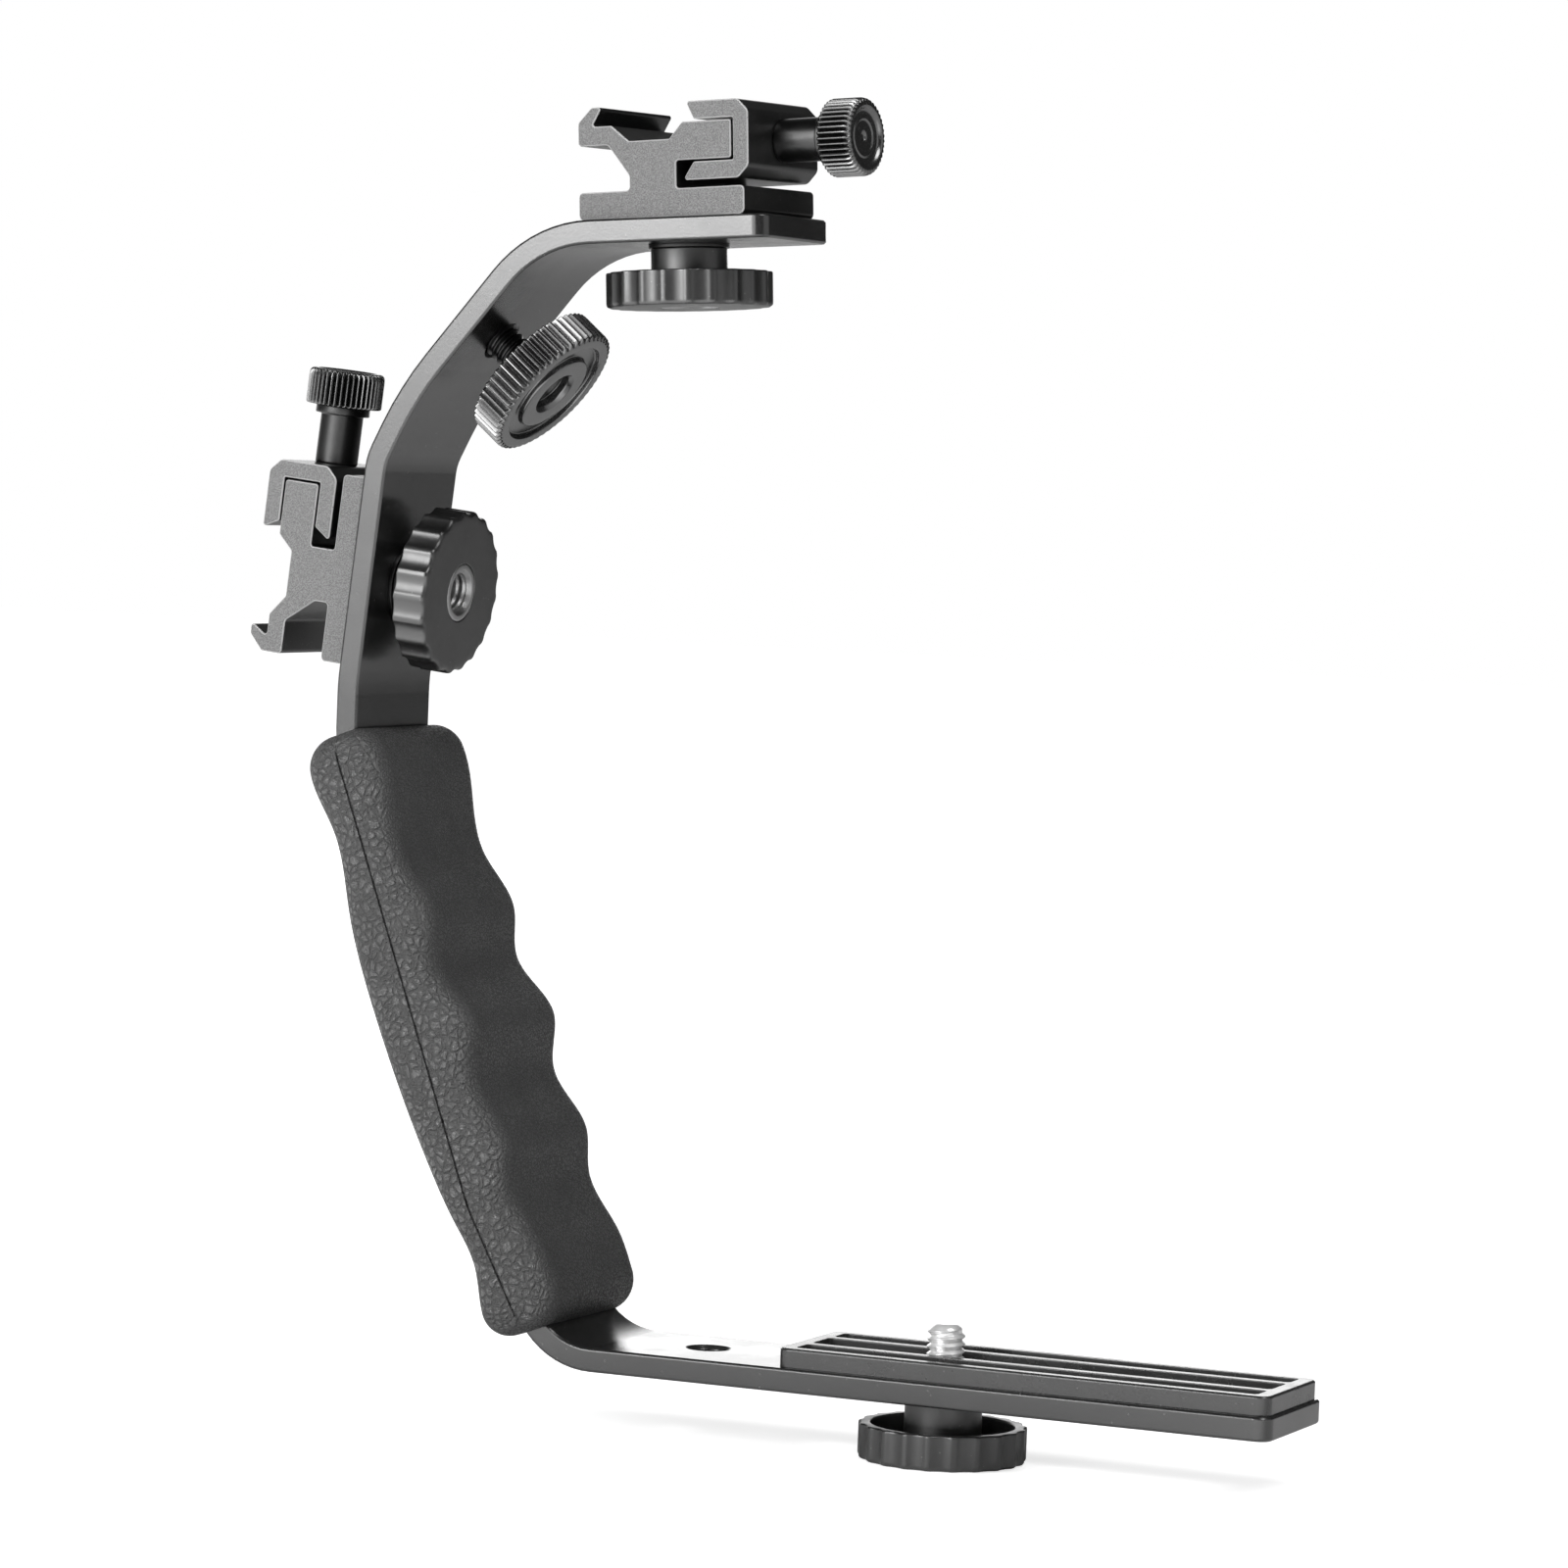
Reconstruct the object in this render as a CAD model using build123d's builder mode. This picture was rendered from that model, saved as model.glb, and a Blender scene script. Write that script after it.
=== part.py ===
from build123d import *
from math import cos, pi, radians, sin
import os

# Camera flash bracket: a bent flat bar with a moulded hand grip, a camera platform on its
# foot and two clamping accessory shoes on its upper legs.
# Millimetres. The origin is the centre of the tripod thread on the underside of the foot.
# +X runs along the foot to its free end, +Y across the bar, +Z up.

# Bent bar
bar_width = 27.0
bar_thickness = 4.0
bar_corner_radius = 2.5
bar_edge_bevel = 0.35
foot_reach = 104.4
heel_place = 23.8

# Each leg of the bar: its length between bend corners, and its lean from the vertical
# toward the palm side, in degrees.
heel_leg = 27.8
heel_lean_angle = 28.7
grip_leg = 81.6
grip_lean_angle = 20.5
riser_leg = 10.2
riser_lean_angle = 0.0
side_leg = 38.1
side_lean_angle = -5.9
shoulder_leg = 12.8
shoulder_lean_angle = -26.5
incline_leg = 35.4
incline_lean_angle = -40.0
top_leg = 42.0
top_lean_angle = -86.8

# Bend radii at the middle of the bar's thickness, from the heel to the top
heel_radius = 13.6
knuckle_radius = 20.0
neck_radius = 12.0
riser_radius = 40.0
elbow_radius = 10.0
shoulder_radius = 58.0
crown_radius = 22.5

# Screw threads, modelled as plain cylinders at their major diameter
camera_thread = 6.35
clamp_thread = 4.0
thread_clearance = 0.05
hole_clearance = 0.08
fit_gap = 0.02
thread_chamfer = 0.7
overrun = 1.0

# Places along the bar: axes measured back from the upper corner of their leg
top_stud_setback = 20.0
side_stud_setback = 21.0
accessory_setback = 21.4

# Hand grip, clamped round the bar as a palm shell and a finger shell
grip_width = 36.0
grip_length = 106.0
grip_above_neck = 1.6
grip_palm_depth_share = 0.0802
grip_finger_depth_share = 0.0925
grip_round_share = 0.0434
grip_end_round_share = 0.0528
grip_palm_end_round_share = 0.0453
grip_bar_clearance = 0.15
seam_width = 0.4
seam_depth = 0.4
grip_screw_radius = 1.5
grip_screw_head_radius = 3.0
grip_screw_head_height = 2.0
grip_screw_seat = 2.0
grip_screw_bite = 4.2
grip_screw_tip_room = 0.5
grip_screw_head_room = 0.15
grip_screw_socket = 1.25
grip_screw_socket_depth = 1.2

# Palm outline: (share of the grip's length from its top, share of the palm depth)
palm_shares = (
    (0, 0.7),
    (0.062, 0.89),
    (0.147, 0.74),
    (0.275, 0.91),
    (0.44, 1),
    (0.6, 0.91),
    (0.704, 0.78),
    (0.804, 0.58),
    (0.874, 0.43),
    (0.93, 0.53),
    (1, 0.5),
)

# Finger outline, with four finger grooves: (share of the length, share of the finger depth)
finger_shares = (
    (0, 0.66),
    (0.09, 0.75),
    (0.225, 0.57),
    (0.331, 0.83),
    (0.402, 0.62),
    (0.513, 1),
    (0.595, 0.7),
    (0.706, 0.98),
    (0.775, 0.79),
    (0.874, 1.01),
    (0.949, 1.06),
    (1, 1.06),
)

# The two screws sit under the second and fourth finger ridges.
grip_screw_shares = (0.331, 0.706)

# Camera platform
plate_length = 85.9
plate_inset = 0.6
plate_width = 24.6
plate_height = 3.2
plate_corner_radius = 2.0
plate_edge_bevel = 0.3
plate_rim = 1.9
plate_end_rim = 2.6
plate_slot_width = 7.5
plate_rib = 1.7
plate_groove_depth = 2.3
plate_groove_round = 0.8
bar_slot_setback = 6.0
camera_screw_setback = 60.8

# Scalloped wheel, with its cup open toward the bar
wheel_radius = 14.0
wheel_thickness = 5.9
wheel_stand_off = 4.6
wheel_rim = 2.0
wheel_floor = 2.4
wheel_edge_bevel = 0.45
hub_radius = 6.4
flute_count = 21
flute_radius = 3.8
flute_depth = 0.5
washer_radius = 6.8
washer_thickness = 0.6

# Metal core of the wheel: a threaded insert, and the stud that stands up from it
insert_radius = 5.0
insert_length = 7.4
insert_bore_depth = 5.6
insert_bevel = 0.5
stud_bite = 5.0
stud_tip_bevel = 0.6

# Camera screw and the snap ring that keeps it in its slot
camera_screw_rise = 4.9
snap_ring_thickness = 0.5
snap_ring_seat = 0.6
snap_ring_play = 0.1
snap_ring_opening = 2.4
slot_play = 0.08

# Accessory shoe, in its own frame: x across the shoe from hook to jaw, z off the bar
shoe_length = 32.0
shoe_depth = 23.0
shoe_base = 4.7
shoe_ledge = 15.6
shoe_lip_rise = 3.2
hook_lip = 2.05
hook_wall = 2.65
hook_height = 6.4
hook_bevel = 2.5
hook_root = 5.8
trough_depth = 2.7
trough_width = 7.8
trough_near_ramp = 3.4
trough_far_ramp = 2.5
column_inset = 9.9
column_width = 9.1
column_height = 7.2
arm_reach = 10.6
arm_thickness = 6.3
shoe_edge_bevel = 0.35
shoe_stud_depth = 6.4
top_shoe_yaw_angle = -6.5
side_shoe_yaw_angle = 0.0

# Clamping jaw, hooked round the arm of the shoe
jaw_gap = 0.4
jaw_slip = 0.35
jaw_web = 2.9
jaw_lip = 3.0
jaw_lip_reach = 7.5
jaw_lip_undercut = 1.5
jaw_leg = 3.0
jaw_leg_reach = 9.7
jaw_leg_taper = 2.1
jaw_bevel = 2.0

# Thumbscrew of the jaw
screw_bite = 7.5
screw_tip_room = 1.5
shank_radius = 3.65
shank_length = 8.5
collar_radius = 4.65
collar_length = 1.4
head_radius = 6.5
head_length = 6.2
head_bevel = 0.9
head_dish_rim = 1.4
head_dish_depth = 0.7
head_rib_count = 42
head_rib_depth = 0.35
head_rib_margin = 0.2
head_dimple_radius = 1.0
head_dimple_depth = 0.4
spigot_radius = 2.6
spigot_length = 3.6

# Accessory knob on the inclined leg
knob_radius = 12.95
knob_thickness = 6.3
knob_stand_off = 7.3
knob_bevel = 0.5
knob_rib_count = 56
knob_rib_depth = 0.45
knob_rib_margin = 0.2
knob_ring_inner = 7.3
knob_ring_outer = 10.2
knob_ring_depth = 1.1
knob_eye_radius = 3.6
knob_eye_depth = 2.0
knob_hub_radius = 5.2
knob_hub_height = 1.0
knob_insert_depth = 4.6
accessory_tip = 2.5

os.makedirs("parts", exist_ok=True)
half_bar = bar_thickness / 2
camera_radius = camera_thread / 2
thread_hole = camera_radius + thread_clearance
clear_hole = camera_radius + hole_clearance
clamp_radius = clamp_thread / 2


def step_along(start, lean, distance):
    """The point a distance up a leg that leans toward the palm side."""
    angle = radians(lean)
    return (start[0] - distance * sin(angle), start[1] + distance * cos(angle))


def leg_plane(corner, lean, distance, lift, yaw=0.0):
    """A plane on the bar: x up the leg, z out of the outer face, lifted off mid-thickness."""
    x, z = step_along(corner, lean, distance)
    angle = radians(lean)
    turn = radians(yaw)
    along = (-sin(angle) * cos(turn), sin(turn), cos(angle) * cos(turn))
    outward = (-cos(angle), 0, -sin(angle))
    return Plane((x, 0, z), x_dir=along, z_dir=outward).offset(lift)


def upright(place):
    """The plane through a place that holds its x and z as sketch x and y."""
    return Plane(place.origin, x_dir=place.x_dir, z_dir=-place.y_dir)


def facing(place):
    """The same place seen from behind, its z turned the other way."""
    return Plane(place.origin, x_dir=place.x_dir, z_dir=-place.z_dir)


def across(place, distance, height):
    """A plane square to a place's x, at a distance along it and a height over it."""
    origin = place.origin + place.x_dir * distance + place.z_dir * height
    return Plane(origin, x_dir=place.y_dir, z_dir=place.x_dir)


def outermost(builder, place):
    """The face of a piece that lies furthest along a place's z."""
    return builder.faces().sort_by(Axis(place.origin, place.z_dir))[-1]


def save(builder, name):
    """Label a finished piece and write it under the same name."""
    builder.part.label = name
    export_step(builder.part, f"parts/{name}.step")


# Corner points of the bar at the middle of its thickness
legs = (
    (heel_leg, heel_lean_angle),
    (grip_leg, grip_lean_angle),
    (riser_leg, riser_lean_angle),
    (side_leg, side_lean_angle),
    (shoulder_leg, shoulder_lean_angle),
    (incline_leg, incline_lean_angle),
    (top_leg, top_lean_angle),
)
bend_radii = (
    heel_radius,
    knuckle_radius,
    neck_radius,
    riser_radius,
    elbow_radius,
    shoulder_radius,
    crown_radius,
)
corners = [(-heel_place, half_bar)]
for leg_length, leg_lean in legs:
    corners.append(step_along(corners[-1], leg_lean, leg_length))
heel, knuckle, neck, riser, elbow, shoulder, crown, top_end = corners

# Planes on the bar: stud axes on its outer face, wheels and knob on its inner face
top_place = leg_plane(crown, top_lean_angle, top_leg - top_stud_setback, half_bar, top_shoe_yaw_angle)
side_place = leg_plane(riser, side_lean_angle, side_leg - side_stud_setback, half_bar, side_shoe_yaw_angle)
accessory_hole = leg_plane(shoulder, incline_lean_angle, incline_leg - accessory_setback, -half_bar)
accessory_place = facing(accessory_hole)
foot_top = Plane.XY.offset(bar_thickness)
plate_end = foot_reach - plate_inset
plate_start = plate_end - plate_length
plate_middle = (plate_start + plate_end) / 2
camera_place = facing(Plane((plate_end - camera_screw_setback, 0, 0)))
bar_slot_length = plate_length - 2 * bar_slot_setback
bar_slot_width = camera_thread + 2 * slot_play

# Grip frame: x down the grip leg from the neck corner, y toward the fingers
grip_angle = radians(grip_lean_angle)
grip_down = (sin(grip_angle), 0, -cos(grip_angle))
grip_plane = Plane((neck[0], 0, neck[1]), x_dir=grip_down, z_dir=(0, -1, 0))
grip_screw_axes = []
for place_share in grip_screw_shares:
    screw_place = place_share * grip_length - grip_above_neck
    grip_screw_axes.append(leg_plane(knuckle, grip_lean_angle, grip_leg - screw_place, 0))


# Centre line and section of the bar, drawn from the side
with BuildLine() as bar_line:
    FilletPolyline((foot_reach, half_bar), *corners, radius=bend_radii)


def strip(half_thickness):
    """A face that follows the centre line of the bar from its foot to its top end."""
    with BuildSketch(Plane.XZ) as section:
        with BuildLine():
            outer = offset(bar_line.line, half_thickness, side=Side.LEFT, closed=False, mode=Mode.ADD)
            inner = offset(bar_line.line, half_thickness, side=Side.RIGHT, closed=False, mode=Mode.ADD)
            Line(outer @ 1, inner @ 0)
            Line(outer @ 0, inner @ 1)
        make_face()
    return section.sketch


# Everything on the palm side of the centre line, which parts the two grip shells
with BuildSketch(Plane.XZ) as palm_side:
    with BuildLine():
        add(bar_line.line)
        Polyline(
            top_end,
            (neck[0] - grip_width, top_end[1]),
            (neck[0] - grip_width, -grip_width),
            (foot_reach, -grip_width),
            (foot_reach, half_bar),
        )
    make_face()


# Bent bar with its holes and the long camera slot
with BuildPart() as bar:
    extrude(strip(half_bar), amount=bar_width / 2, both=True)
    for end_x, end_z in ((foot_reach, half_bar), top_end):
        end_face = bar.faces().sort_by_distance((end_x, 0, end_z))[0]
        fillet(end_face.edges().sort_by(SortBy.LENGTH)[:2], radius=bar_corner_radius)
    chamfer(bar.faces().filter_by(Axis.Y).edges(), length=bar_edge_bevel)
    with Locations(foot_top, accessory_place):
        CounterSinkHole(
            thread_hole,
            thread_hole + thread_chamfer,
            depth=bar_thickness + overrun,
            counter_sink_angle=90,
        )
    with Locations(top_place, side_place):
        Hole(clear_hole, depth=bar_thickness + overrun)
    with Locations(*[axis.offset(half_bar) for axis in grip_screw_axes]):
        Hole(grip_screw_radius + hole_clearance, depth=bar_thickness + overrun)
    with BuildSketch(foot_top):
        with Locations((plate_middle, 0)):
            SlotOverall(bar_slot_length, bar_slot_width)
    extrude(amount=-(bar_thickness + overrun), mode=Mode.SUBTRACT)
save(bar, "bar")


# Hand grip as one body, before it is parted and hollowed for the bar
grip_palm_depth = grip_palm_depth_share * grip_length
grip_finger_depth = grip_finger_depth_share * grip_length
grip_end_round = grip_end_round_share * grip_length
grip_palm_end_round = grip_palm_end_round_share * grip_length
grip_round = grip_round_share * grip_length
with BuildPart() as grip_blank:
    with BuildSketch(grip_plane) as grip_section:
        with BuildLine():
            palm_points = [
                (share * grip_length - grip_above_neck, -depth_share * grip_palm_depth)
                for share, depth_share in palm_shares
            ]
            finger_points = [
                (share * grip_length - grip_above_neck, depth_share * grip_finger_depth)
                for share, depth_share in finger_shares
            ]
            Spline(*palm_points)
            Spline(*finger_points)
            Line(palm_points[0], finger_points[0])
            Line(palm_points[-1], finger_points[-1])
        make_face()
        grip_corners = grip_section.vertices().group_by(Axis.X)
        fillet(grip_corners[0] + grip_corners[-1].sort_by(Axis.Y)[-1:], radius=grip_end_round)
        foot_corners = grip_section.vertices().group_by(Axis.X)[-1]
        fillet(foot_corners.sort_by(Axis.Y)[0], radius=grip_palm_end_round)
    extrude(amount=grip_width / 2, both=True)
    fillet(grip_blank.faces().filter_by(Axis.Y).edges(), radius=grip_round)

# Room for the bar inside the grip, and a shadow line along the seam on both sides
with BuildPart() as grip_hollow:
    extrude(strip(seam_width / 2), amount=grip_width / 2 + overrun, both=True)
    extrude(strip(half_bar), amount=grip_width / 2 - seam_depth, both=True, mode=Mode.SUBTRACT)
    extrude(strip(half_bar), amount=bar_width / 2 + grip_bar_clearance, both=True)

# Palm shell, with a counterbored hole over each screw
screw_seat = half_bar + grip_screw_seat
with BuildPart() as grip_palm_shell:
    add(grip_blank.part)
    extrude(palm_side.sketch, amount=grip_width / 2 + overrun, both=True, mode=Mode.INTERSECT)
    add(grip_hollow.part, mode=Mode.SUBTRACT)
    for axis in grip_screw_axes:
        with BuildSketch(axis):
            Circle(grip_screw_radius + hole_clearance)
        extrude(amount=grip_palm_depth + overrun, mode=Mode.SUBTRACT)
        with BuildSketch(axis.offset(screw_seat)):
            Circle(grip_screw_head_radius + grip_screw_head_room)
        extrude(amount=grip_palm_depth + overrun, mode=Mode.SUBTRACT)
save(grip_palm_shell, "grip_palm_shell")

# Finger shell, with a blind hole for each screw under its ridge
with BuildPart() as grip_finger_shell:
    add(grip_blank.part)
    extrude(palm_side.sketch, amount=grip_width / 2 + overrun, both=True, mode=Mode.SUBTRACT)
    add(grip_hollow.part, mode=Mode.SUBTRACT)
    for axis in grip_screw_axes:
        with BuildSketch(axis):
            Circle(grip_screw_radius + fit_gap)
        extrude(
            amount=-(half_bar + grip_screw_bite + grip_screw_tip_room), mode=Mode.SUBTRACT
        )
save(grip_finger_shell, "grip_finger_shell")

# The two screws that pull the shells together through the bar
with BuildPart() as grip_screws:
    for axis in grip_screw_axes:
        with BuildSketch(axis.offset(-half_bar - grip_screw_bite)):
            Circle(grip_screw_radius)
        extrude(amount=screw_seat + half_bar + grip_screw_bite)
        with BuildSketch(axis.offset(screw_seat)):
            Circle(grip_screw_head_radius)
        extrude(amount=grip_screw_head_height)
        with BuildSketch(axis.offset(screw_seat + grip_screw_head_height)):
            RegularPolygon(grip_screw_socket, 6, major_radius=False)
        extrude(amount=-grip_screw_socket_depth, mode=Mode.SUBTRACT)
save(grip_screws, "grip_screws")


# Camera platform on the foot: a long slot between two ribs, and a groove beside each rib
plate_top = foot_top.offset(plate_height)
plate_bay_length = plate_length - 2 * plate_end_rim
groove_start = plate_slot_width / 2 + plate_rib
groove_width = plate_width / 2 - plate_rim - groove_start
groove_middle = groove_start + groove_width / 2
with BuildPart() as camera_plate:
    with BuildSketch(foot_top):
        with Locations((plate_middle, 0)):
            RectangleRounded(plate_length, plate_width, plate_corner_radius)
    extrude(amount=plate_height)
    chamfer(outermost(camera_plate, foot_top).edges(), length=plate_edge_bevel)
    with BuildSketch(plate_top):
        with Locations((plate_middle, groove_middle), (plate_middle, -groove_middle)):
            RectangleRounded(plate_bay_length, groove_width, plate_groove_round)
    extrude(amount=-plate_groove_depth, mode=Mode.SUBTRACT)
    with BuildSketch(plate_top):
        with Locations((plate_middle, 0)):
            RectangleRounded(plate_bay_length, plate_slot_width, plate_groove_round)
    extrude(amount=-(plate_height + overrun), mode=Mode.SUBTRACT)
save(camera_plate, "camera_plate")


# Scalloped wheels, in the frame of their seat: z runs away from the bar
wheel_end = wheel_stand_off + wheel_thickness
wheel_cup = wheel_thickness - wheel_floor
insert_start = wheel_end - insert_length


def make_wheel(place, name):
    """Plastic wheel: fluted rim, floor, hub down to the washer, bore for the metal core."""
    with BuildPart() as wheel:
        with BuildSketch(place.offset(wheel_stand_off)):
            Circle(wheel_radius)
        extrude(amount=wheel_thickness)
        chamfer(outermost(wheel, place).edges(), length=wheel_edge_bevel)
        with BuildSketch(place.offset(wheel_stand_off)):
            Circle(wheel_radius - wheel_rim)
        extrude(amount=wheel_cup, mode=Mode.SUBTRACT)
        with BuildSketch(place.offset(wheel_stand_off)):
            with PolarLocations(wheel_radius + flute_radius - flute_depth, flute_count):
                Circle(flute_radius)
        extrude(amount=wheel_thickness, mode=Mode.SUBTRACT)
        with BuildSketch(place.offset(washer_thickness)):
            Circle(hub_radius)
        extrude(amount=wheel_stand_off + wheel_cup - washer_thickness)
        with Locations(place.offset(wheel_end)):
            CounterBoreHole(
                camera_radius + fit_gap,
                insert_radius + fit_gap,
                insert_length,
                depth=wheel_end + overrun,
            )
    save(wheel, name)


def make_washer(place, name):
    """Washer between a wheel and the bar."""
    with BuildPart() as washer:
        with BuildSketch(place):
            Circle(washer_radius)
            Circle(clear_hole, mode=Mode.SUBTRACT)
        extrude(amount=washer_thickness)
    save(washer, name)


def make_core(place, tip_reach, name, ring_start=None):
    """Metal core: an insert with a threaded bore, and a stud that reaches through the bar."""
    with BuildPart() as core:
        with BuildSketch(place.offset(insert_start)):
            Circle(insert_radius)
        extrude(amount=insert_length)
        chamfer(outermost(core, place).edges(), length=insert_bevel)
        with BuildSketch(place.offset(-tip_reach)):
            Circle(camera_radius)
        extrude(amount=tip_reach + insert_start)
        chamfer(outermost(core, facing(place)).edges(), length=stud_tip_bevel)
        with Locations(place.offset(wheel_end)):
            CounterSinkHole(
                thread_hole,
                thread_hole + thread_chamfer,
                depth=insert_bore_depth,
                counter_sink_angle=90,
            )
        if ring_start is not None:
            with BuildSketch(place.offset(-ring_start + snap_ring_play)):
                Circle(camera_radius + overrun)
                Circle(camera_radius - snap_ring_seat, mode=Mode.SUBTRACT)
            extrude(amount=-snap_ring_thickness - 2 * snap_ring_play, mode=Mode.SUBTRACT)
    save(core, name)


# Camera screw, its wheel and washer under the foot, and the snap ring that holds it
make_wheel(camera_place, "camera_knob_wheel")
make_washer(camera_place, "camera_knob_washer")
camera_tip = bar_thickness + plate_height + camera_screw_rise
make_core(camera_place, camera_tip, "camera_screw", ring_start=bar_thickness)
with BuildPart() as snap_ring:
    with BuildSketch(facing(camera_place).offset(bar_thickness)):
        Circle(plate_slot_width / 2 - snap_ring_play)
        Circle(camera_radius - snap_ring_seat + snap_ring_play, mode=Mode.SUBTRACT)
        with Locations((plate_slot_width / 2, 0)):
            Rectangle(plate_slot_width, snap_ring_opening, mode=Mode.SUBTRACT)
    extrude(amount=snap_ring_thickness)
save(snap_ring, "camera_snap_ring")


# Shoe outlines: x runs from the hook side to the jaw side, measured from the stud
stud_x = column_inset + column_width / 2
column_end = column_inset + column_width
arm_end = column_end + arm_reach
arm_underside = shoe_ledge - arm_thickness
trough_floor = shoe_ledge - trough_depth
trough_end = column_inset + trough_width
lip_top = shoe_ledge + shoe_lip_rise
hook_underside = lip_top - hook_height
screw_height = (shoe_ledge + arm_underside) / 2
web_start = arm_end + jaw_gap
web_end = web_start + jaw_web
lip_start = web_start - jaw_lip_reach
jaw_underside = arm_underside - jaw_slip - jaw_leg
jaw_top = shoe_ledge + jaw_slip + jaw_lip
shank_end = web_end + shank_length
head_start = shank_end + collar_length
screw_tip = arm_end - screw_bite

shoe_outline = (
    (0, 0),
    (shoe_length, 0),
    (shoe_length, shoe_base),
    (column_end, shoe_base),
    (column_end, arm_underside),
    (arm_end, arm_underside),
    (arm_end, shoe_ledge),
    (trough_end + trough_far_ramp, shoe_ledge),
    (trough_end, trough_floor),
    (column_inset, trough_floor),
    (column_inset - trough_near_ramp, shoe_ledge),
    (hook_wall, shoe_ledge),
    (hook_wall + hook_lip, lip_top),
    (hook_wall, lip_top),
    (0, lip_top - hook_bevel),
    (0, hook_underside),
    (hook_root, hook_underside),
    (column_inset, column_height),
    (column_inset, shoe_base),
    (0, shoe_base),
)
jaw_outline = (
    (lip_start, shoe_ledge + jaw_slip),
    (lip_start - jaw_lip_undercut, jaw_top),
    (web_end - jaw_bevel, jaw_top),
    (web_end, jaw_top - jaw_bevel),
    (web_end, jaw_underside + jaw_bevel),
    (web_end - jaw_bevel, jaw_underside),
    (web_start - jaw_leg_reach, jaw_underside),
    (web_start - jaw_leg_reach + jaw_leg_taper, jaw_underside + jaw_leg),
    (web_start, jaw_underside + jaw_leg),
    (web_start, shoe_ledge + jaw_slip),
)


def profile(place, outline):
    """An outline with its corners broken, as a face through the middle of the shoe."""
    with BuildSketch(upright(place)) as section:
        with BuildLine():
            Polyline(*[(x - stud_x, z) for x, z in outline], close=True)
        make_face()
        chamfer(section.vertices(), length=shoe_edge_bevel)
    return section.sketch


def make_shoe(place, side):
    """Extruded shoe body with its hook, trough and arm, and the jaw hooked round the arm."""
    with BuildPart() as shoe_body:
        extrude(profile(place, shoe_outline), amount=shoe_depth / 2, both=True)
        with Locations(facing(place)):
            CounterSinkHole(
                thread_hole,
                thread_hole + thread_chamfer,
                depth=shoe_stud_depth,
                counter_sink_angle=90,
            )
        with Locations(across(place, arm_end - stud_x, screw_height)):
            Hole(clamp_radius + thread_clearance, depth=screw_bite + screw_tip_room)
    save(shoe_body, f"{side}_shoe_body")

    with BuildPart() as shoe_jaw:
        extrude(profile(place, jaw_outline), amount=shoe_depth / 2, both=True)
        with Locations(across(place, web_end - stud_x, screw_height)):
            Hole(clamp_radius + hole_clearance, depth=jaw_web + overrun)
    save(shoe_jaw, f"{side}_shoe_jaw")


def make_thumbscrew(place, side):
    """Turned metal screw with its shank and collar, and the ribbed head pressed on it."""
    tip, web, collar, head, spigot, face = (
        across(place, station - stud_x, screw_height)
        for station in (
            screw_tip,
            web_end,
            shank_end,
            head_start,
            head_start + spigot_length,
            head_start + head_length,
        )
    )
    with BuildPart() as shaft:
        with BuildSketch(tip):
            Circle(clamp_radius)
        extrude(amount=web_end - screw_tip)
        chamfer(outermost(shaft, facing(tip)).edges(), length=thread_chamfer)
        with BuildSketch(web):
            Circle(shank_radius)
        extrude(amount=shank_length)
        with BuildSketch(collar):
            Circle(collar_radius)
        extrude(amount=collar_length)
        with BuildSketch(head):
            Circle(spigot_radius)
        extrude(amount=spigot_length)
    save(shaft, f"{side}_thumbscrew_shaft")

    with BuildPart() as thumb_head:
        with BuildSketch(head):
            Circle(head_radius)
        extrude(amount=head_length)
        chamfer(outermost(thumb_head, face).edges(), length=head_bevel)
        with BuildSketch(head):
            with PolarLocations(head_radius, head_rib_count):
                RegularPolygon(head_rib_depth, 4)
        extrude(amount=head_length - head_bevel - head_rib_margin, mode=Mode.SUBTRACT)
        with BuildSketch(face):
            Circle(head_radius - head_dish_rim)
        extrude(amount=-head_dish_depth, mode=Mode.SUBTRACT)
        with BuildSketch(face.offset(-head_dish_depth)):
            Circle(head_dimple_radius)
        extrude(amount=-head_dimple_depth, mode=Mode.SUBTRACT)
        with Locations(spigot):
            Hole(spigot_radius + fit_gap, depth=spigot_length)
    save(thumb_head, f"{side}_thumbscrew_head")


# Both shoes, each held by its own wheel through the bar
for shoe_side, shoe_place in (("top", top_place), ("side", side_place)):
    wheel_place = facing(shoe_place.offset(-bar_thickness))
    make_shoe(shoe_place, shoe_side)
    make_thumbscrew(shoe_place, shoe_side)
    make_wheel(wheel_place, f"{shoe_side}_knob_wheel")
    make_washer(wheel_place, f"{shoe_side}_knob_washer")
    make_core(wheel_place, bar_thickness + stud_bite, f"{shoe_side}_knob_stud")


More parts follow.
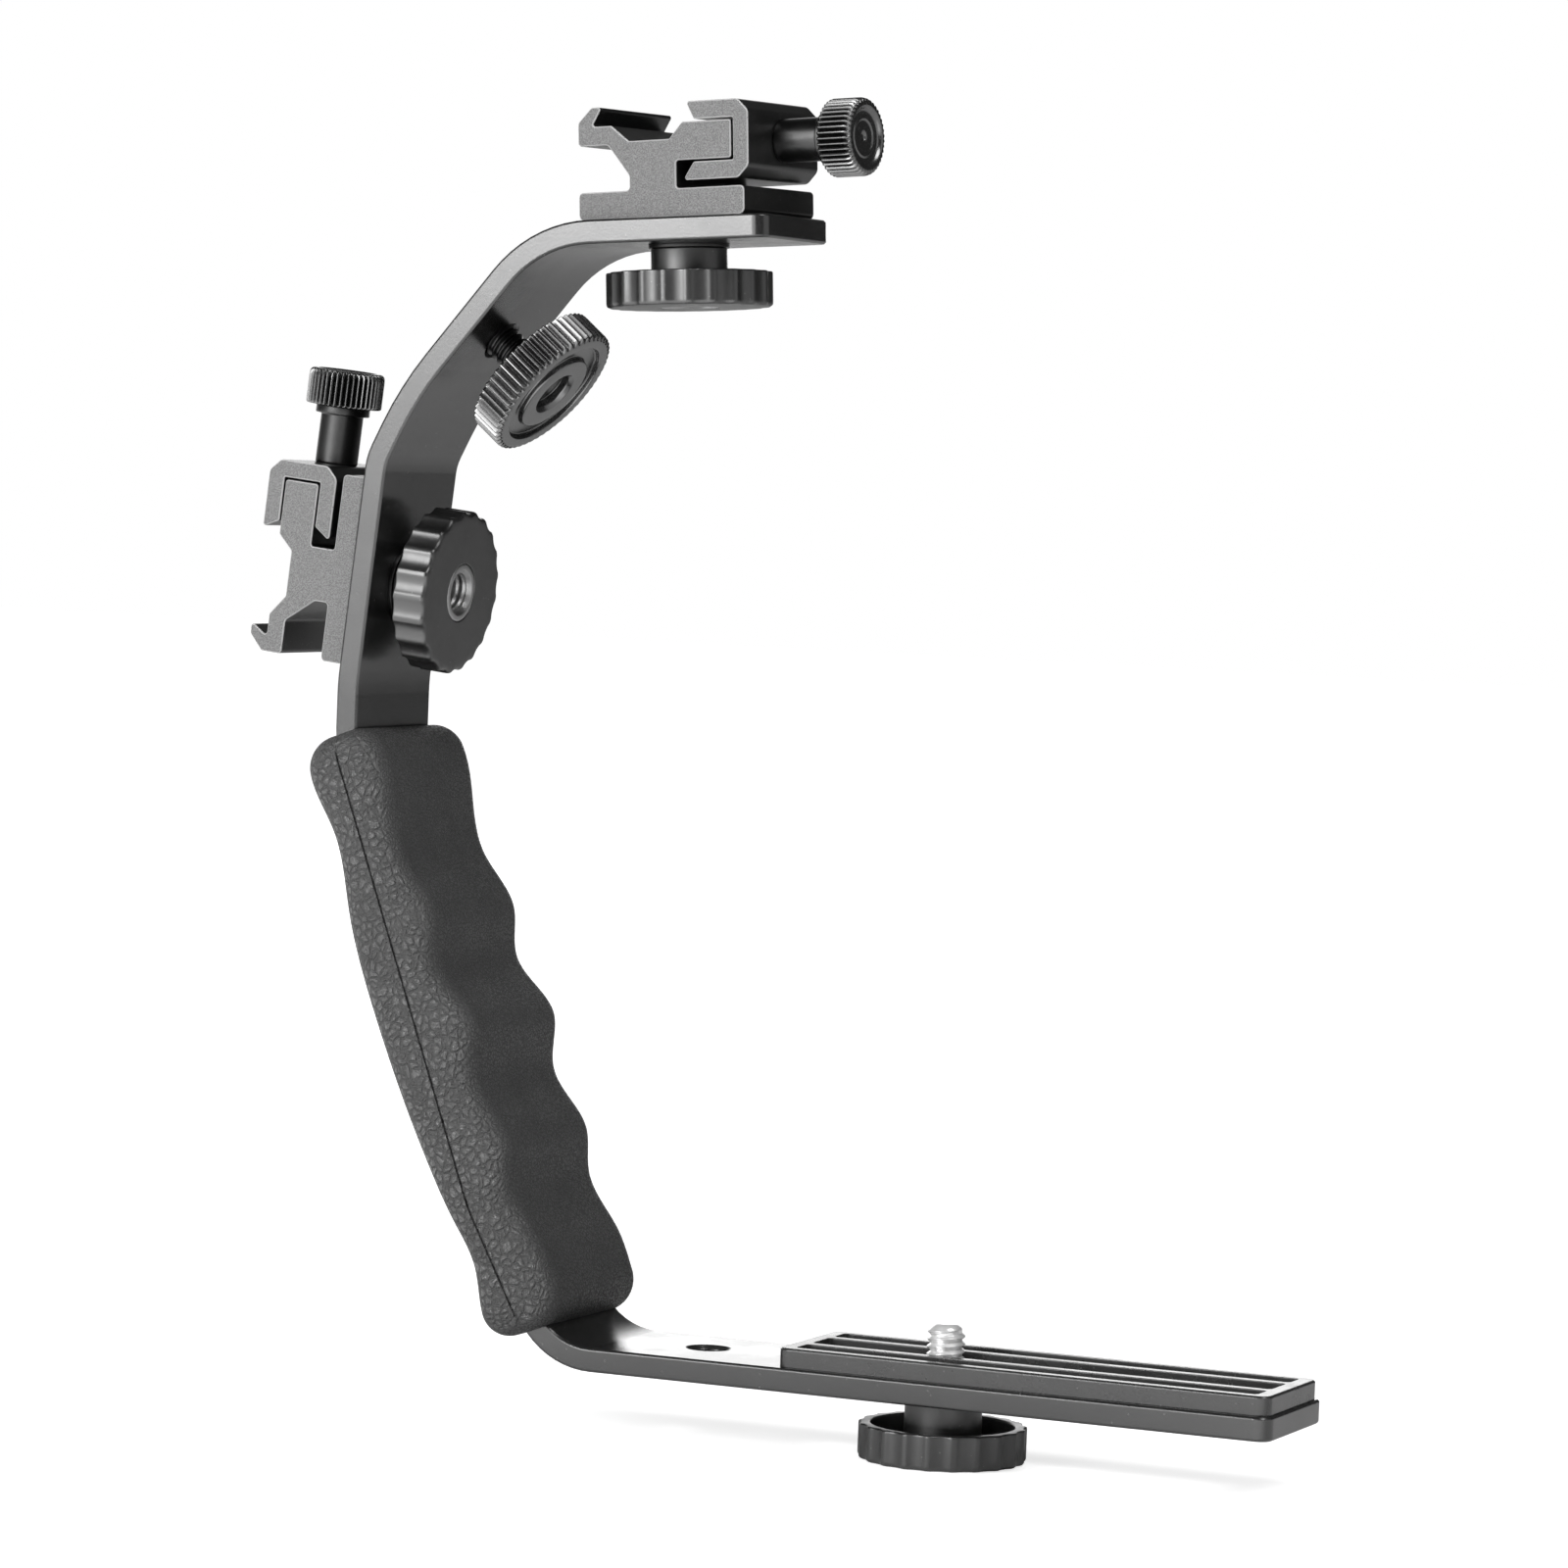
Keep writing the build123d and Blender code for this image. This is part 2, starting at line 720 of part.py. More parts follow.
# Accessory knob: a ribbed disc on a long screw through the threaded hole of the bar
knob_end = knob_stand_off + knob_thickness
knob_hub_start = knob_stand_off - knob_hub_height
with BuildPart() as accessory_knob_head:
    with BuildSketch(accessory_place.offset(knob_stand_off)):
        Circle(knob_radius)
    extrude(amount=knob_thickness)
    chamfer(outermost(accessory_knob_head, accessory_place).edges(), length=knob_bevel)
    with BuildSketch(accessory_place.offset(knob_stand_off)):
        with PolarLocations(knob_radius, knob_rib_count):
            RegularPolygon(knob_rib_depth, 4)
    extrude(amount=knob_thickness - knob_bevel - knob_rib_margin, mode=Mode.SUBTRACT)
    with BuildSketch(accessory_place.offset(knob_hub_start)):
        Circle(knob_hub_radius)
    extrude(amount=knob_hub_height)
    with BuildSketch(accessory_place.offset(knob_end)):
        Circle(knob_ring_outer)
        Circle(knob_ring_inner, mode=Mode.SUBTRACT)
    extrude(amount=-knob_ring_depth, mode=Mode.SUBTRACT)
    with Locations(accessory_place.offset(knob_end)):
        CounterSinkHole(
            knob_eye_radius,
            knob_eye_radius + thread_chamfer,
            depth=knob_eye_depth,
            counter_sink_angle=90,
        )
    with Locations(accessory_place.offset(knob_hub_start + knob_insert_depth)):
        Hole(camera_radius + fit_gap, depth=knob_insert_depth + overrun)
save(accessory_knob_head, "accessory_knob_head")

with BuildPart() as accessory_knob_screw:
    with BuildSketch(accessory_place.offset(-bar_thickness - accessory_tip)):
        Circle(camera_radius)
    extrude(amount=bar_thickness + accessory_tip + knob_hub_start + knob_insert_depth)
    chamfer(outermost(accessory_knob_screw, accessory_hole).edges(), length=stud_tip_bevel)
save(accessory_knob_screw, "accessory_knob_screw")
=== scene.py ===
"""Looks of a camera flash bracket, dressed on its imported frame, in metres."""

import logging
import math
from collections.abc import Callable, Sequence
from dataclasses import dataclass
from enum import Enum

import bmesh
import bpy
from mathutils import Matrix, Vector


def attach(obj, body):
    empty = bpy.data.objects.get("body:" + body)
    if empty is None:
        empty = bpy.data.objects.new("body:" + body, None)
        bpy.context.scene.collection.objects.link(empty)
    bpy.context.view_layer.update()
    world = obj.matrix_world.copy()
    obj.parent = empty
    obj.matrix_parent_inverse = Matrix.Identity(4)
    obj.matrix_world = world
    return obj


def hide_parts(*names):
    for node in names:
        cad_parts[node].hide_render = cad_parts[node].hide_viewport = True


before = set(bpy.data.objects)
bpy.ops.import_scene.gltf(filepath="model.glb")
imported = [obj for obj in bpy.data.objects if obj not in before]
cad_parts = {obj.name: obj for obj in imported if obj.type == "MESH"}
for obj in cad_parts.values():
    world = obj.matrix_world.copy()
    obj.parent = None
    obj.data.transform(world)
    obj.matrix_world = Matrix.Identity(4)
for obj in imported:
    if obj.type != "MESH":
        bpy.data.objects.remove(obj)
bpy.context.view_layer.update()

log = logging.getLogger("flash_bracket")
MM = 0.001
FULL_TURN = 2 * math.pi
NOISE_SPREAD = (0.3, 0.7)  # where most values of a noise lie
NOISE_MIDDLE = (0.35, 0.65)

Pair = tuple[float, float]
Triple = tuple[float, float, float]
Socket = bpy.types.NodeSocket
Value = Socket | float | Sequence[float]


class Slot(Enum):
    """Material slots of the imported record."""

    BAR = "painted_bar"
    GRIP = "grip_leather"
    PLATFORM = "platform_black"
    SHOE = "shoe_black"
    KNOB = "knob_black"
    BRIGHT = "bright_steel"
    BLACKENED = "black_steel"


class Look(Enum):
    """Finishes of single pieces that differ from the finish of their slot."""

    WHEEL = "wheel_matt"
    RIBBED = "ribbed_head"
    INSERT = "insert_dull"


class Side(Enum):
    """The two legs of the bar that carry an accessory shoe."""

    TOP = "top"
    SIDE = "side"


def grey(value: float) -> tuple[float, float, float, float]:
    """A neutral colour of that brightness."""
    return (value, value, value, 1.0)


def placed(name: str, data: bpy.types.ID) -> bpy.types.Object:
    """Make an object and put it in the scene.

    Args:
        name: the object's name.
        data: its mesh, camera or lamp.

    Returns:
        The object.
    """
    made = bpy.data.objects.new(name, data)
    bpy.context.scene.collection.objects.link(made)
    return made


# Shader trees and the effects that finishes share


class ShaderTree:
    """Short ways to add and join nodes in a material, a world or a group."""

    def __init__(self, tree: bpy.types.NodeTree) -> None:
        """Keep the node tree that is being filled."""
        self.tree = tree

    @classmethod
    def emptied(cls, owner: bpy.types.Material | bpy.types.World) -> "ShaderTree":
        """Give a material or a world an empty node tree.

        Args:
            owner: the material or world.

        Returns:
            Its tree.
        """
        owner.use_nodes = True
        owner.node_tree.nodes.clear()
        return cls(owner.node_tree)

    def feed(self, value: Value, target: Socket) -> None:
        """Give an input a constant, or link an output to it.

        Args:
            value: a number, a colour, a vector or an output socket.
            target: the input socket.
        """
        if isinstance(value, Socket):
            self.tree.links.new(value, target)
        else:
            target.default_value = value

    def add(self, kind: str, given: dict[str | int, Value] | None = None,
            **settings: object) -> bpy.types.Node:
        """Add a node.

        Args:
            kind: the node's type name.
            given: what its inputs are fed with, by name or number.
            settings: properties of the node.

        Returns:
            The new node.
        """
        node = self.tree.nodes.new(kind)
        for key, value in settings.items():
            setattr(node, key, value)
        for key, value in (given or {}).items():
            self.feed(value, node.inputs[key])
        return node

    def math(self, operation: str, *values: Value, clamp: bool = False) -> Socket:
        """The value of a Math node on numbers or sockets."""
        return self.add("ShaderNodeMath", dict(enumerate(values)), operation=operation,
                        use_clamp=clamp).outputs[0]

    def vector_math(self, operation: str, *values: Value) -> bpy.types.Node:
        """A Vector Math node on vectors or sockets."""
        return self.add("ShaderNodeVectorMath", dict(enumerate(values)), operation=operation)

    def dot(self, first: Value, second: Value) -> Socket:
        """The dot product of two vectors."""
        return self.vector_math("DOT_PRODUCT", first, second).outputs["Value"]

    def scale(self, vector: Socket, share: Value) -> Socket:
        """A vector or colour multiplied by a number."""
        return self.add("ShaderNodeVectorMath", {0: vector, "Scale": share},
                        operation="SCALE").outputs["Vector"]

    def ramp(self, factor: Socket, low: Value, high: Value,
             start: float = 0.0, end: float = 1.0) -> Socket:
        """Map one range of a value smoothly to another, and hold it there.

        Args:
            factor: the value to map.
            low: the value that gives start.
            high: the value that gives end.
            start: the result at low.
            end: the result at high.

        Returns:
            The mapped value.
        """
        ends = {"Value": factor, "From Min": low, "From Max": high, "To Min": start, "To Max": end}
        return self.add("ShaderNodeMapRange", ends,
                        interpolation_type="SMOOTHSTEP").outputs["Result"]

    def mix(self, share: Value, first: Value, second: Value, colours: bool = True) -> Socket:
        """Mix two colours, or two numbers.

        Args:
            share: the share of the second.
            first: what a share of 0 gives.
            second: what a share of 1 gives.
            colours: whether they are colours.

        Returns:
            The mixture.
        """
        kind, low, result = ("RGBA", 6, 2) if colours else ("FLOAT", 2, 0)
        return self.add("ShaderNodeMix", {0: share, low: first, low + 1: second},
                        data_type=kind).outputs[result]

    def noise(self, place: Value, scale: Value, detail: float = 2.0,
              roughness: float = 0.5) -> Socket:
        """The value of a Noise Texture, with its scale in features for each metre."""
        return self.add("ShaderNodeTexNoise", {"Vector": place, "Scale": scale, "Detail": detail,
                                               "Roughness": roughness}).outputs["Fac"]

    def bump(self, height: Socket, depth: float, normal: Socket) -> Socket:
        """A normal with a height from 0 to 1 laid on it, its depth in metres."""
        return self.add("ShaderNodeBump", {"Strength": 1.0, "Distance": depth, "Height": height,
                                           "Normal": normal}).outputs["Normal"]


class EffectGroup(ShaderTree):
    """A shader node group with named inputs and outputs."""

    def __init__(self, name: str, inputs: dict[str, float], outputs: dict[str, str]) -> None:
        """Make the group and its sockets.

        Args:
            name: the group's name.
            inputs: the default of each number that it takes.
            outputs: the socket type of each result, Float or Vector.
        """
        super().__init__(bpy.data.node_groups.new(name, "ShaderNodeTree"))
        sockets = self.tree.interface
        for title, value in inputs.items():
            made = sockets.new_socket(name=title, in_out="INPUT", socket_type="NodeSocketFloat")
            made.default_value = value
        for title, kind in outputs.items():
            sockets.new_socket(name=title, in_out="OUTPUT", socket_type=f"NodeSocket{kind}")
        self.given = self.add("NodeGroupInput").outputs
        self.results = self.add("NodeGroupOutput").inputs
        self.place = self.add("ShaderNodeTexCoord").outputs["Object"]

    def mottle(self, scale: float) -> Socket:
        """Slow mottling from 0 to 1, its scale in features for each metre."""
        return self.ramp(self.noise(self.place, scale, detail=4.0, roughness=0.6), *NOISE_SPREAD)

    def close(self, **results: Socket) -> bpy.types.NodeTree:
        """Feed the outputs by name, and give the finished tree."""
        for name, value in results.items():
            self.feed(value, self.results[name])
        return self.tree


class Effects:
    """The effects that more than one finish uses, each built once."""

    def __init__(self) -> None:
        """Build every group."""
        self.groups = {
            "soft_edges": self._soft_edges(),
            "fine_grain": self._fine_grain(),
            "pebbled_grain": self._pebbled_grain(),
            "rubbed_edges": self._rubbed_edges(),
            "handling": self._handling(),
            "recesses": self._recesses(),
        }

    def place(self, shader: ShaderTree, name: str, **values: Value) -> dict[str, Socket]:
        """Put an effect into a material.

        Args:
            shader: the material's tree.
            name: the effect's name.
            values: its inputs, with _ for a space.

        Returns:
            Its outputs by name.
        """
        given = {key.replace("_", " ").capitalize(): value for key, value in values.items()}
        node = shader.add("ShaderNodeGroup", given, node_tree=self.groups[name])
        return {socket.name: socket for socket in node.outputs}

    @staticmethod
    def _soft_edges() -> bpy.types.NodeTree:
        """Edges that catch the light as if rounded, and where they are."""
        group = EffectGroup("soft_edges", {"Radius": 0.0003}, {"Normal": "Vector", "Edge": "Float"})
        rounded = group.add("ShaderNodeBevel", {"Radius": group.given["Radius"]}, samples=6)
        normal = rounded.outputs["Normal"]
        flat = group.add("ShaderNodeNewGeometry").outputs["Normal"]
        barely_turned, fully_turned = 0.995, 0.8
        edge = group.ramp(group.dot(normal, flat), barely_turned, fully_turned)
        return group.close(Normal=normal, Edge=edge)

    @staticmethod
    def _fine_grain() -> bpy.types.NodeTree:
        """Orange peel of paint or the matt skin of a moulding, with slow mottling."""
        group = EffectGroup("fine_grain", {"Scale": 2500.0}, {"Height": "Float", "Mottle": "Float"})
        fine = group.noise(group.place, group.given["Scale"], detail=3.0)
        return group.close(Height=group.ramp(fine, *NOISE_SPREAD), Mottle=group.mottle(160.0))

    @staticmethod
    def _pebbled_grain() -> bpy.types.NodeTree:
        """Pebbles of a leather grain, the creases between them and slow mottling."""
        group = EffectGroup("pebbled_grain", {"Scale": 1300.0},
                            {"Height": "Float", "Crease": "Float", "Mottle": "Float"})
        scale = group.given["Scale"]
        wander_share, wander_reach, crease_width, pore_share = 0.45, 1.4, 0.24, 4.0
        pebble_part, wrinkle_part, pore_part = 0.62, 0.23, 0.15
        wander = group.add("ShaderNodeTexNoise", {
            "Vector": group.place, "Scale": group.math("MULTIPLY", scale, wander_share)})
        shifted = group.scale(wander.outputs["Color"], group.math("DIVIDE", wander_reach, scale))
        place = group.vector_math("ADD", group.place, shifted).outputs["Vector"]
        layers = []
        for share in (1.0, 2.3):
            cells = group.add("ShaderNodeTexVoronoi", feature="DISTANCE_TO_EDGE", given={
                "Vector": place, "Scale": group.math("MULTIPLY", scale, share)})
            layers.append(group.ramp(cells.outputs["Distance"], 0.0, crease_width))
        pebbles, wrinkles = layers
        pores = group.noise(group.place, group.math("MULTIPLY", scale, pore_share))
        height = group.math("ADD", group.math("MULTIPLY", pebbles, pebble_part),
                            group.math("MULTIPLY", wrinkles, wrinkle_part))
        height = group.math("ADD", height, group.math("MULTIPLY", pores, pore_part))
        return group.close(Height=height, Crease=group.math("SUBTRACT", 1.0, pebbles),
                           Mottle=group.mottle(140.0))

    @staticmethod
    def _rubbed_edges() -> bpy.types.NodeTree:
        """Painted highlights in patches along an edge, a paler colour that stands for light caught
        there.
        """
        group = EffectGroup("rubbed_edges", {"Edge": 0.0, "Amount": 0.5}, {"Mask": "Float"})
        patch_level, reach, contrast = 0.85, 0.6, 9.0
        patches = group.noise(group.place, 700.0, detail=5.0, roughness=0.65)
        lowered = group.math("MULTIPLY", group.given["Amount"], reach)
        level = group.math("SUBTRACT", patch_level, lowered)
        over = group.math("SUBTRACT", patches, level)
        strong = group.math("MULTIPLY", over, contrast, clamp=True)
        return group.close(Mask=group.math("MULTIPLY", strong, group.given["Edge"]))

    @staticmethod
    def _recesses() -> bpy.types.NodeTree:
        """A mask of grooves and inner corners by how enclosed they are, for painted shade there."""
        group = EffectGroup("recesses", {"Reach": 0.0005}, {"Mask": "Float"})
        open_share = group.add("ShaderNodeAmbientOcclusion", {"Distance": group.given["Reach"]},
                               samples=8)
        nearly_open, enclosed = 0.85, 0.45
        return group.close(Mask=group.ramp(open_share.outputs["AO"], nearly_open, enclosed))

    @staticmethod
    def _handling() -> bpy.types.NodeTree:
        """Smudges of handling and specks of dust."""
        group = EffectGroup("handling", {"Speck scale": 1800.0, "Speck share": 0.1},
                            {"Smudge": "Float", "Speck": "Float"})
        smudge = group.noise(group.place, 55.0, detail=5.0, roughness=0.7)
        specks = group.add("ShaderNodeTexVoronoi", feature="F1", given={
            "Vector": group.place, "Scale": group.given["Speck scale"]}).outputs
        chosen = group.add("ShaderNodeSeparateColor", {"Color": specks["Color"]}).outputs[0]
        rare = group.math("LESS_THAN", chosen, group.given["Speck share"])
        speck_rim, speck_core = 0.32, 0.18
        dot = group.ramp(specks["Distance"], speck_rim, speck_core)
        return group.close(Smudge=group.ramp(smudge, *NOISE_MIDDLE),
                           Speck=group.math("MULTIPLY", rare, dot))


# Finishes


@dataclass(frozen=True)
class Finish:
    """What every finish has: a name, a brightness, a roughness, a relief and rounded edges.

    The edge's radius and the grain's depth are in millimetres, and the grain's scale is in
    features for each metre.
    """

    name: str
    colour: float
    roughness: float
    specular: float = 0.5
    edge_radius: float = 0.3
    ior: float = 1.5
    grain_scale: float = 2500.0
    grain_depth: float = 0.006
    mottle: float = 0.3

    def mottled(self, shader: ShaderTree, share: Socket) -> Socket:
        """The finish's colour, a little darker or lighter by a share from 0 to 1."""
        return shader.mix(share, grey(self.colour * (1 - self.mottle)),
                          grey(self.colour * (1 + self.mottle)))

    def look(self, shader: ShaderTree, effects: Effects,
             edge: Socket) -> tuple[Socket, dict[str, Value]]:
        """What sets a finish apart from the others.

        Args:
            shader: the material's tree.
            effects: the shared effects.
            edge: where the edges are.

        Returns:
            Its relief from 0 to 1, and what the surface is fed with, by input.
        """
        raise NotImplementedError

    def build(self, effects: Effects) -> bpy.types.Material:
        """Make the finished material.

        Args:
            effects: the shared effects.

        Returns:
            The material.
        """
        material = bpy.data.materials.new(self.name)
        shader = ShaderTree.emptied(material)
        edges = effects.place(shader, "soft_edges", radius=self.edge_radius * MM)
        height, given = self.look(shader, effects, edges["Edge"])
        relief = shader.bump(height, self.grain_depth * MM, edges["Normal"])
        plain = {"Specular IOR Level": self.specular, "IOR": self.ior, "Normal": relief}
        surface = shader.add("ShaderNodeBsdfPrincipled", plain | given)
        shader.add("ShaderNodeOutputMaterial", {"Surface": surface.outputs["BSDF"]})
        return material


@dataclass(frozen=True)
class Coated(Finish):
    """Paint, anodising or moulded plastic: a fine skin, smudges, specks and painted edge
    highlights.

    Where groove is given, it is how far the shaded grooves reach, in millimetres, and there painted
    shade makes them darker and less reflective.
    """

    speck_scale: float = 1800.0
    speck_colour: float = 0.08
    speck_share: float = 0.06
    painted_highlight: float = 0.3
    painted_highlight_colour: float = 0.25
    groove: float = 0.0
    groove_shade_share: float = 0.4
    smudged: Pair = (0.9, 1.12)

    def look(self, shader: ShaderTree, effects: Effects,
             edge: Socket) -> tuple[Socket, dict[str, Value]]:
        """The coating, as the base class says."""
        grain = effects.place(shader, "fine_grain", scale=self.grain_scale)
        edge_highlights = effects.place(shader, "rubbed_edges", edge=edge, amount=self.painted_highlight)
        touched = effects.place(shader, "handling", speck_share=self.speck_share,
                                speck_scale=self.speck_scale)
        colour, rough = self.faces(shader, self.mottled(shader, grain["Mottle"]), touched["Smudge"])
        colour = shader.mix(touched["Speck"], colour, grey(self.speck_colour))
        # Painted highlight: edges lightened in patches.
        colour = shader.mix(edge_highlights["Mask"], colour, grey(self.painted_highlight_colour))
        given = {"Base Color": colour, "Roughness": rough}
        if self.groove:
            # Painted shade: grooves darkened and their reflection lowered by how enclosed they are.
            painted_shade = effects.place(shader, "recesses", reach=self.groove * MM)["Mask"]
            given["Base Color"] = shader.mix(painted_shade, colour, grey(self.colour * self.groove_shade_share))
            given["Specular IOR Level"] = shader.ramp(painted_shade, 0.0, 1.0, self.specular, 0.0)
        return grain["Height"], given

    def faces(self, shader: ShaderTree, colour: Socket, smudge: Socket) -> tuple[Socket, Socket]:
        """The look of the faces before specks and painted edge highlights are laid on them.

        Args:
            shader: the material's tree.
            colour: the mottled colour.
            smudge: where the surface was touched.

        Returns:
            The colour and the roughness.
        """
        clean, touched = (self.roughness * share for share in self.smudged)
        return colour, shader.ramp(smudge, 0.0, 1.0, clean, touched)


@dataclass(frozen=True)
class CutExtrusion(Coated):
    """Anodised extrusion whose sawn ends are paler and rougher than its drawn faces, with a painted
    highlight line on the eased edges.

    eased_edge and sawn_edge are how squarely a surface faces the cut where each begins.
    """

    speck_scale: float = 2600.0
    cut_colour: float = 0.16
    cut_roughness: float = 0.55
    cut_scale: float = 5200.0
    cut_spread: Pair = (0.62, 1.35)
    cut_axis: Triple = (0.0, 1.0, 0.0)
    eased_painted_highlight: float = 0.5
    eased_edge: Pair = (0.45, 0.6)
    sawn_edge: Pair = (0.9, 0.97)

    def faces(self, shader: ShaderTree, colour: Socket, smudge: Socket) -> tuple[Socket, Socket]:
        """The drawn faces, the eased edges and the sawn ends, as the base class says."""
        place = shader.add("ShaderNodeTexCoord").outputs
        squareness = shader.math("ABSOLUTE", shader.dot(place["Normal"], self.cut_axis))
        sawn = shader.ramp(squareness, *self.sawn_edge)
        fine = shader.ramp(shader.noise(place["Object"], self.cut_scale), *NOISE_MIDDLE)
        dark, light = (grey(self.cut_colour * share) for share in self.cut_spread)
        eased = shader.ramp(squareness, *self.eased_edge)
        # Painted highlight: the eased edges are drawn as pale lines.
        colour = shader.mix(eased, colour, grey(self.eased_painted_highlight))
        colour = shader.mix(sawn, colour, shader.mix(fine, dark, light))
        return colour, shader.ramp(sawn, 0.0, 1.0, self.roughness, self.cut_roughness)


@dataclass(frozen=True)
class Leather(Finish):
    """Moulded leather: coarse pebbles on the cheeks, and a finer grain round them, darkened as
    painted shade.

    Attributes:
        fine_scale: pebbles for each metre of the finer grain.
        fine_share: depth of the finer grain, against the coarse.
        fine_painted_shade: brightness of the finer grain, against the coarse; a painted shade of
            the faces turned away from the cheek axis.
        cheek_axis: direction that the cheeks face, either way.
        cheek_edge: how squarely a surface faces it where the grains change over.
        crease_painted_shade: brightness of the creases, against the pebbles; a painted shade in
            them.
        crease_roughness: roughness in the creases.
        smudge: how much rougher smudges are.
    """

    grain_scale: float = 680.0
    grain_depth: float = 0.5
    mottle: float = 0.2
    fine_scale: float = 1500.0
    fine_share: float = 0.3
    fine_painted_shade: float = 0.6
    cheek_axis: Triple = (0.0, 1.0, 0.0)
    cheek_edge: Pair = (0.5, 0.85)
    crease_painted_shade: float = 0.75
    crease_roughness: float = 0.8
    smudge: float = 0.06

    def look(self, shader: ShaderTree, effects: Effects,
             edge: Socket) -> tuple[Socket, dict[str, Value]]:
        """The leather, as the base class says."""
        coarse, fine = (effects.place(shader, "pebbled_grain", scale=scale)
                        for scale in (self.grain_scale, self.fine_scale))
        smudge = effects.place(shader, "handling")["Smudge"]
        facing = shader.add("ShaderNodeTexCoord").outputs["Normal"]
        across = shader.math("ABSOLUTE", shader.dot(facing, self.cheek_axis))
        cheek = shader.ramp(across, *self.cheek_edge)
        shallow = shader.math("MULTIPLY", fine["Height"], self.fine_share)
        height = shader.mix(cheek, shallow, coarse["Height"], colours=False)
        crease = shader.mix(cheek, fine["Crease"], coarse["Crease"], colours=False)
        # Painted shade: the creases are darkened.
        colour = shader.mix(crease, self.mottled(shader, coarse["Mottle"]),
                            grey(self.colour * self.crease_painted_shade))
        # Painted shade: faces turned away from the cheek axis are darkened.
        colour = shader.scale(colour, shader.ramp(cheek, 0.0, 1.0, self.fine_painted_shade, 1.0))
        rough = shader.ramp(crease, 0.0, 1.0, self.roughness, self.crease_roughness)
        rough = shader.math("ADD", rough, shader.math("MULTIPLY", smudge, self.smudge))
        return height, {"Base Color": colour, "Roughness": rough}


@dataclass(frozen=True)
class Metal(Finish):
    """Bare or blackened metal with fine marks from turning and a few smudges."""

    grain_scale: float = 3500.0
    grain_depth: float = 0.002
    smudge: float = 0.35
    spread: Pair = (0.9, 1.06)
    metallic: float = 1.0

    def look(self, shader: ShaderTree, effects: Effects,
             edge: Socket) -> tuple[Socket, dict[str, Value]]:
        """The metal, as the base class says."""
        grain = effects.place(shader, "fine_grain", scale=self.grain_scale)
        smudge = effects.place(shader, "handling")["Smudge"]
        dark, light = (grey(self.colour * share) for share in self.spread)
        rough = shader.ramp(smudge, 0.0, 1.0, self.roughness, self.roughness * (1 + self.smudge))
        return grain["Height"], {"Base Color": shader.mix(grain["Mottle"], dark, light),
                                 "Roughness": rough, "Metallic": self.metallic}


class Finishes:
    """Every material of the bracket, built once and handed out by slot or by look."""

    def __init__(self, effects: Effects) -> None:
        """Build the materials.

        Args:
            effects: the shared effects.
        """
        kinds: dict[Slot | Look, Finish] = {
            Slot.BAR: Coated("bar_satin_paint", 0.015, 0.22, specular=1.0, ior=1.54, mottle=0.15,
                             grain_depth=0.0025, speck_colour=0.1, speck_share=0.03,
                             edge_radius=0.3, painted_highlight=0.0),
            Slot.GRIP: Leather("grip_leather_grain", 0.08, 0.36, specular=0.8),
            Slot.PLATFORM: Coated("platform_moulded", 0.028, 0.26, specular=0.9, mottle=0.12,
                                  painted_highlight=0.0),
            Slot.SHOE: CutExtrusion("shoe_anodised", 0.01, 0.3, specular=0.6, painted_highlight=0.9,
                                    painted_highlight_colour=0.5, edge_radius=0.2, cut_colour=0.165),
            Slot.KNOB: Coated("knob_moulded", 0.008, 0.27, specular=0.75, painted_highlight=0.0,
                              speck_share=0.03, mottle=0.2, grain_depth=0.002),
            Slot.BRIGHT: Metal("screw_nickel", 0.94, 0.2, edge_radius=0.15, metallic=0.5),
            Slot.BLACKENED: Metal("screw_blackened", 0.07, 0.27),
            Look.WHEEL: Coated("wheel_moulded", 0.007, 0.36, specular=1.0, ior=1.6,
                               speck_share=0.03, mottle=0.2, grain_depth=0.002,
                               painted_highlight=0.8, painted_highlight_colour=0.16, edge_radius=0.25),
            # The ribbed heads carry painted shade in their grooves.
            Look.RIBBED: Coated("head_moulded", 0.006, 0.24, specular=1.0, painted_highlight=0.0, ior=1.85,
                                speck_share=0.02, mottle=0.2, grain_depth=0.001,
                                edge_radius=0.05, groove=1.3),
            Look.INSERT: Metal("insert_nickel", 0.42, 0.34, edge_radius=0.15),
        }
        self.materials = {use: kind.build(effects) for use, kind in kinds.items()}

    def dress_nodes(self) -> None:
        """Give every node of the frame the finish of its own slot."""
        for name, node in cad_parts.items():
            for place in node.material_slots:
                slot = Slot(place.material.name.split(".")[0])
                place.material = self.materials[slot]
                log.info("dressed %s as %s", name, slot.value)


# Turned pieces: rings round an axis, with ribs, flutes or a thread

CORNER_ROOM = 0.49  # share of a side that a rounded corner may take up
POINT_RADIUS = 1e-6  # a ring smaller than this is a point of the axis
WELD_DISTANCE = 1e-5
CREASE_ANGLE = math.radians(38.0)
THREAD_FOOT = 0.47  # half the ridge's width at its foot, in pitches
THREAD_RUNOUT = 0.4  # turns over which the ridge grows out of the root
THREAD_SECTION = ((-1.0, 0.0), (-0.25, 0.86), (-0.12, 1.0), (0.12, 1.0), (0.25, 0.86), (1.0, 0.0))

Outline = Sequence[tuple[float, ...]]
Pattern = Callable[[float], float]


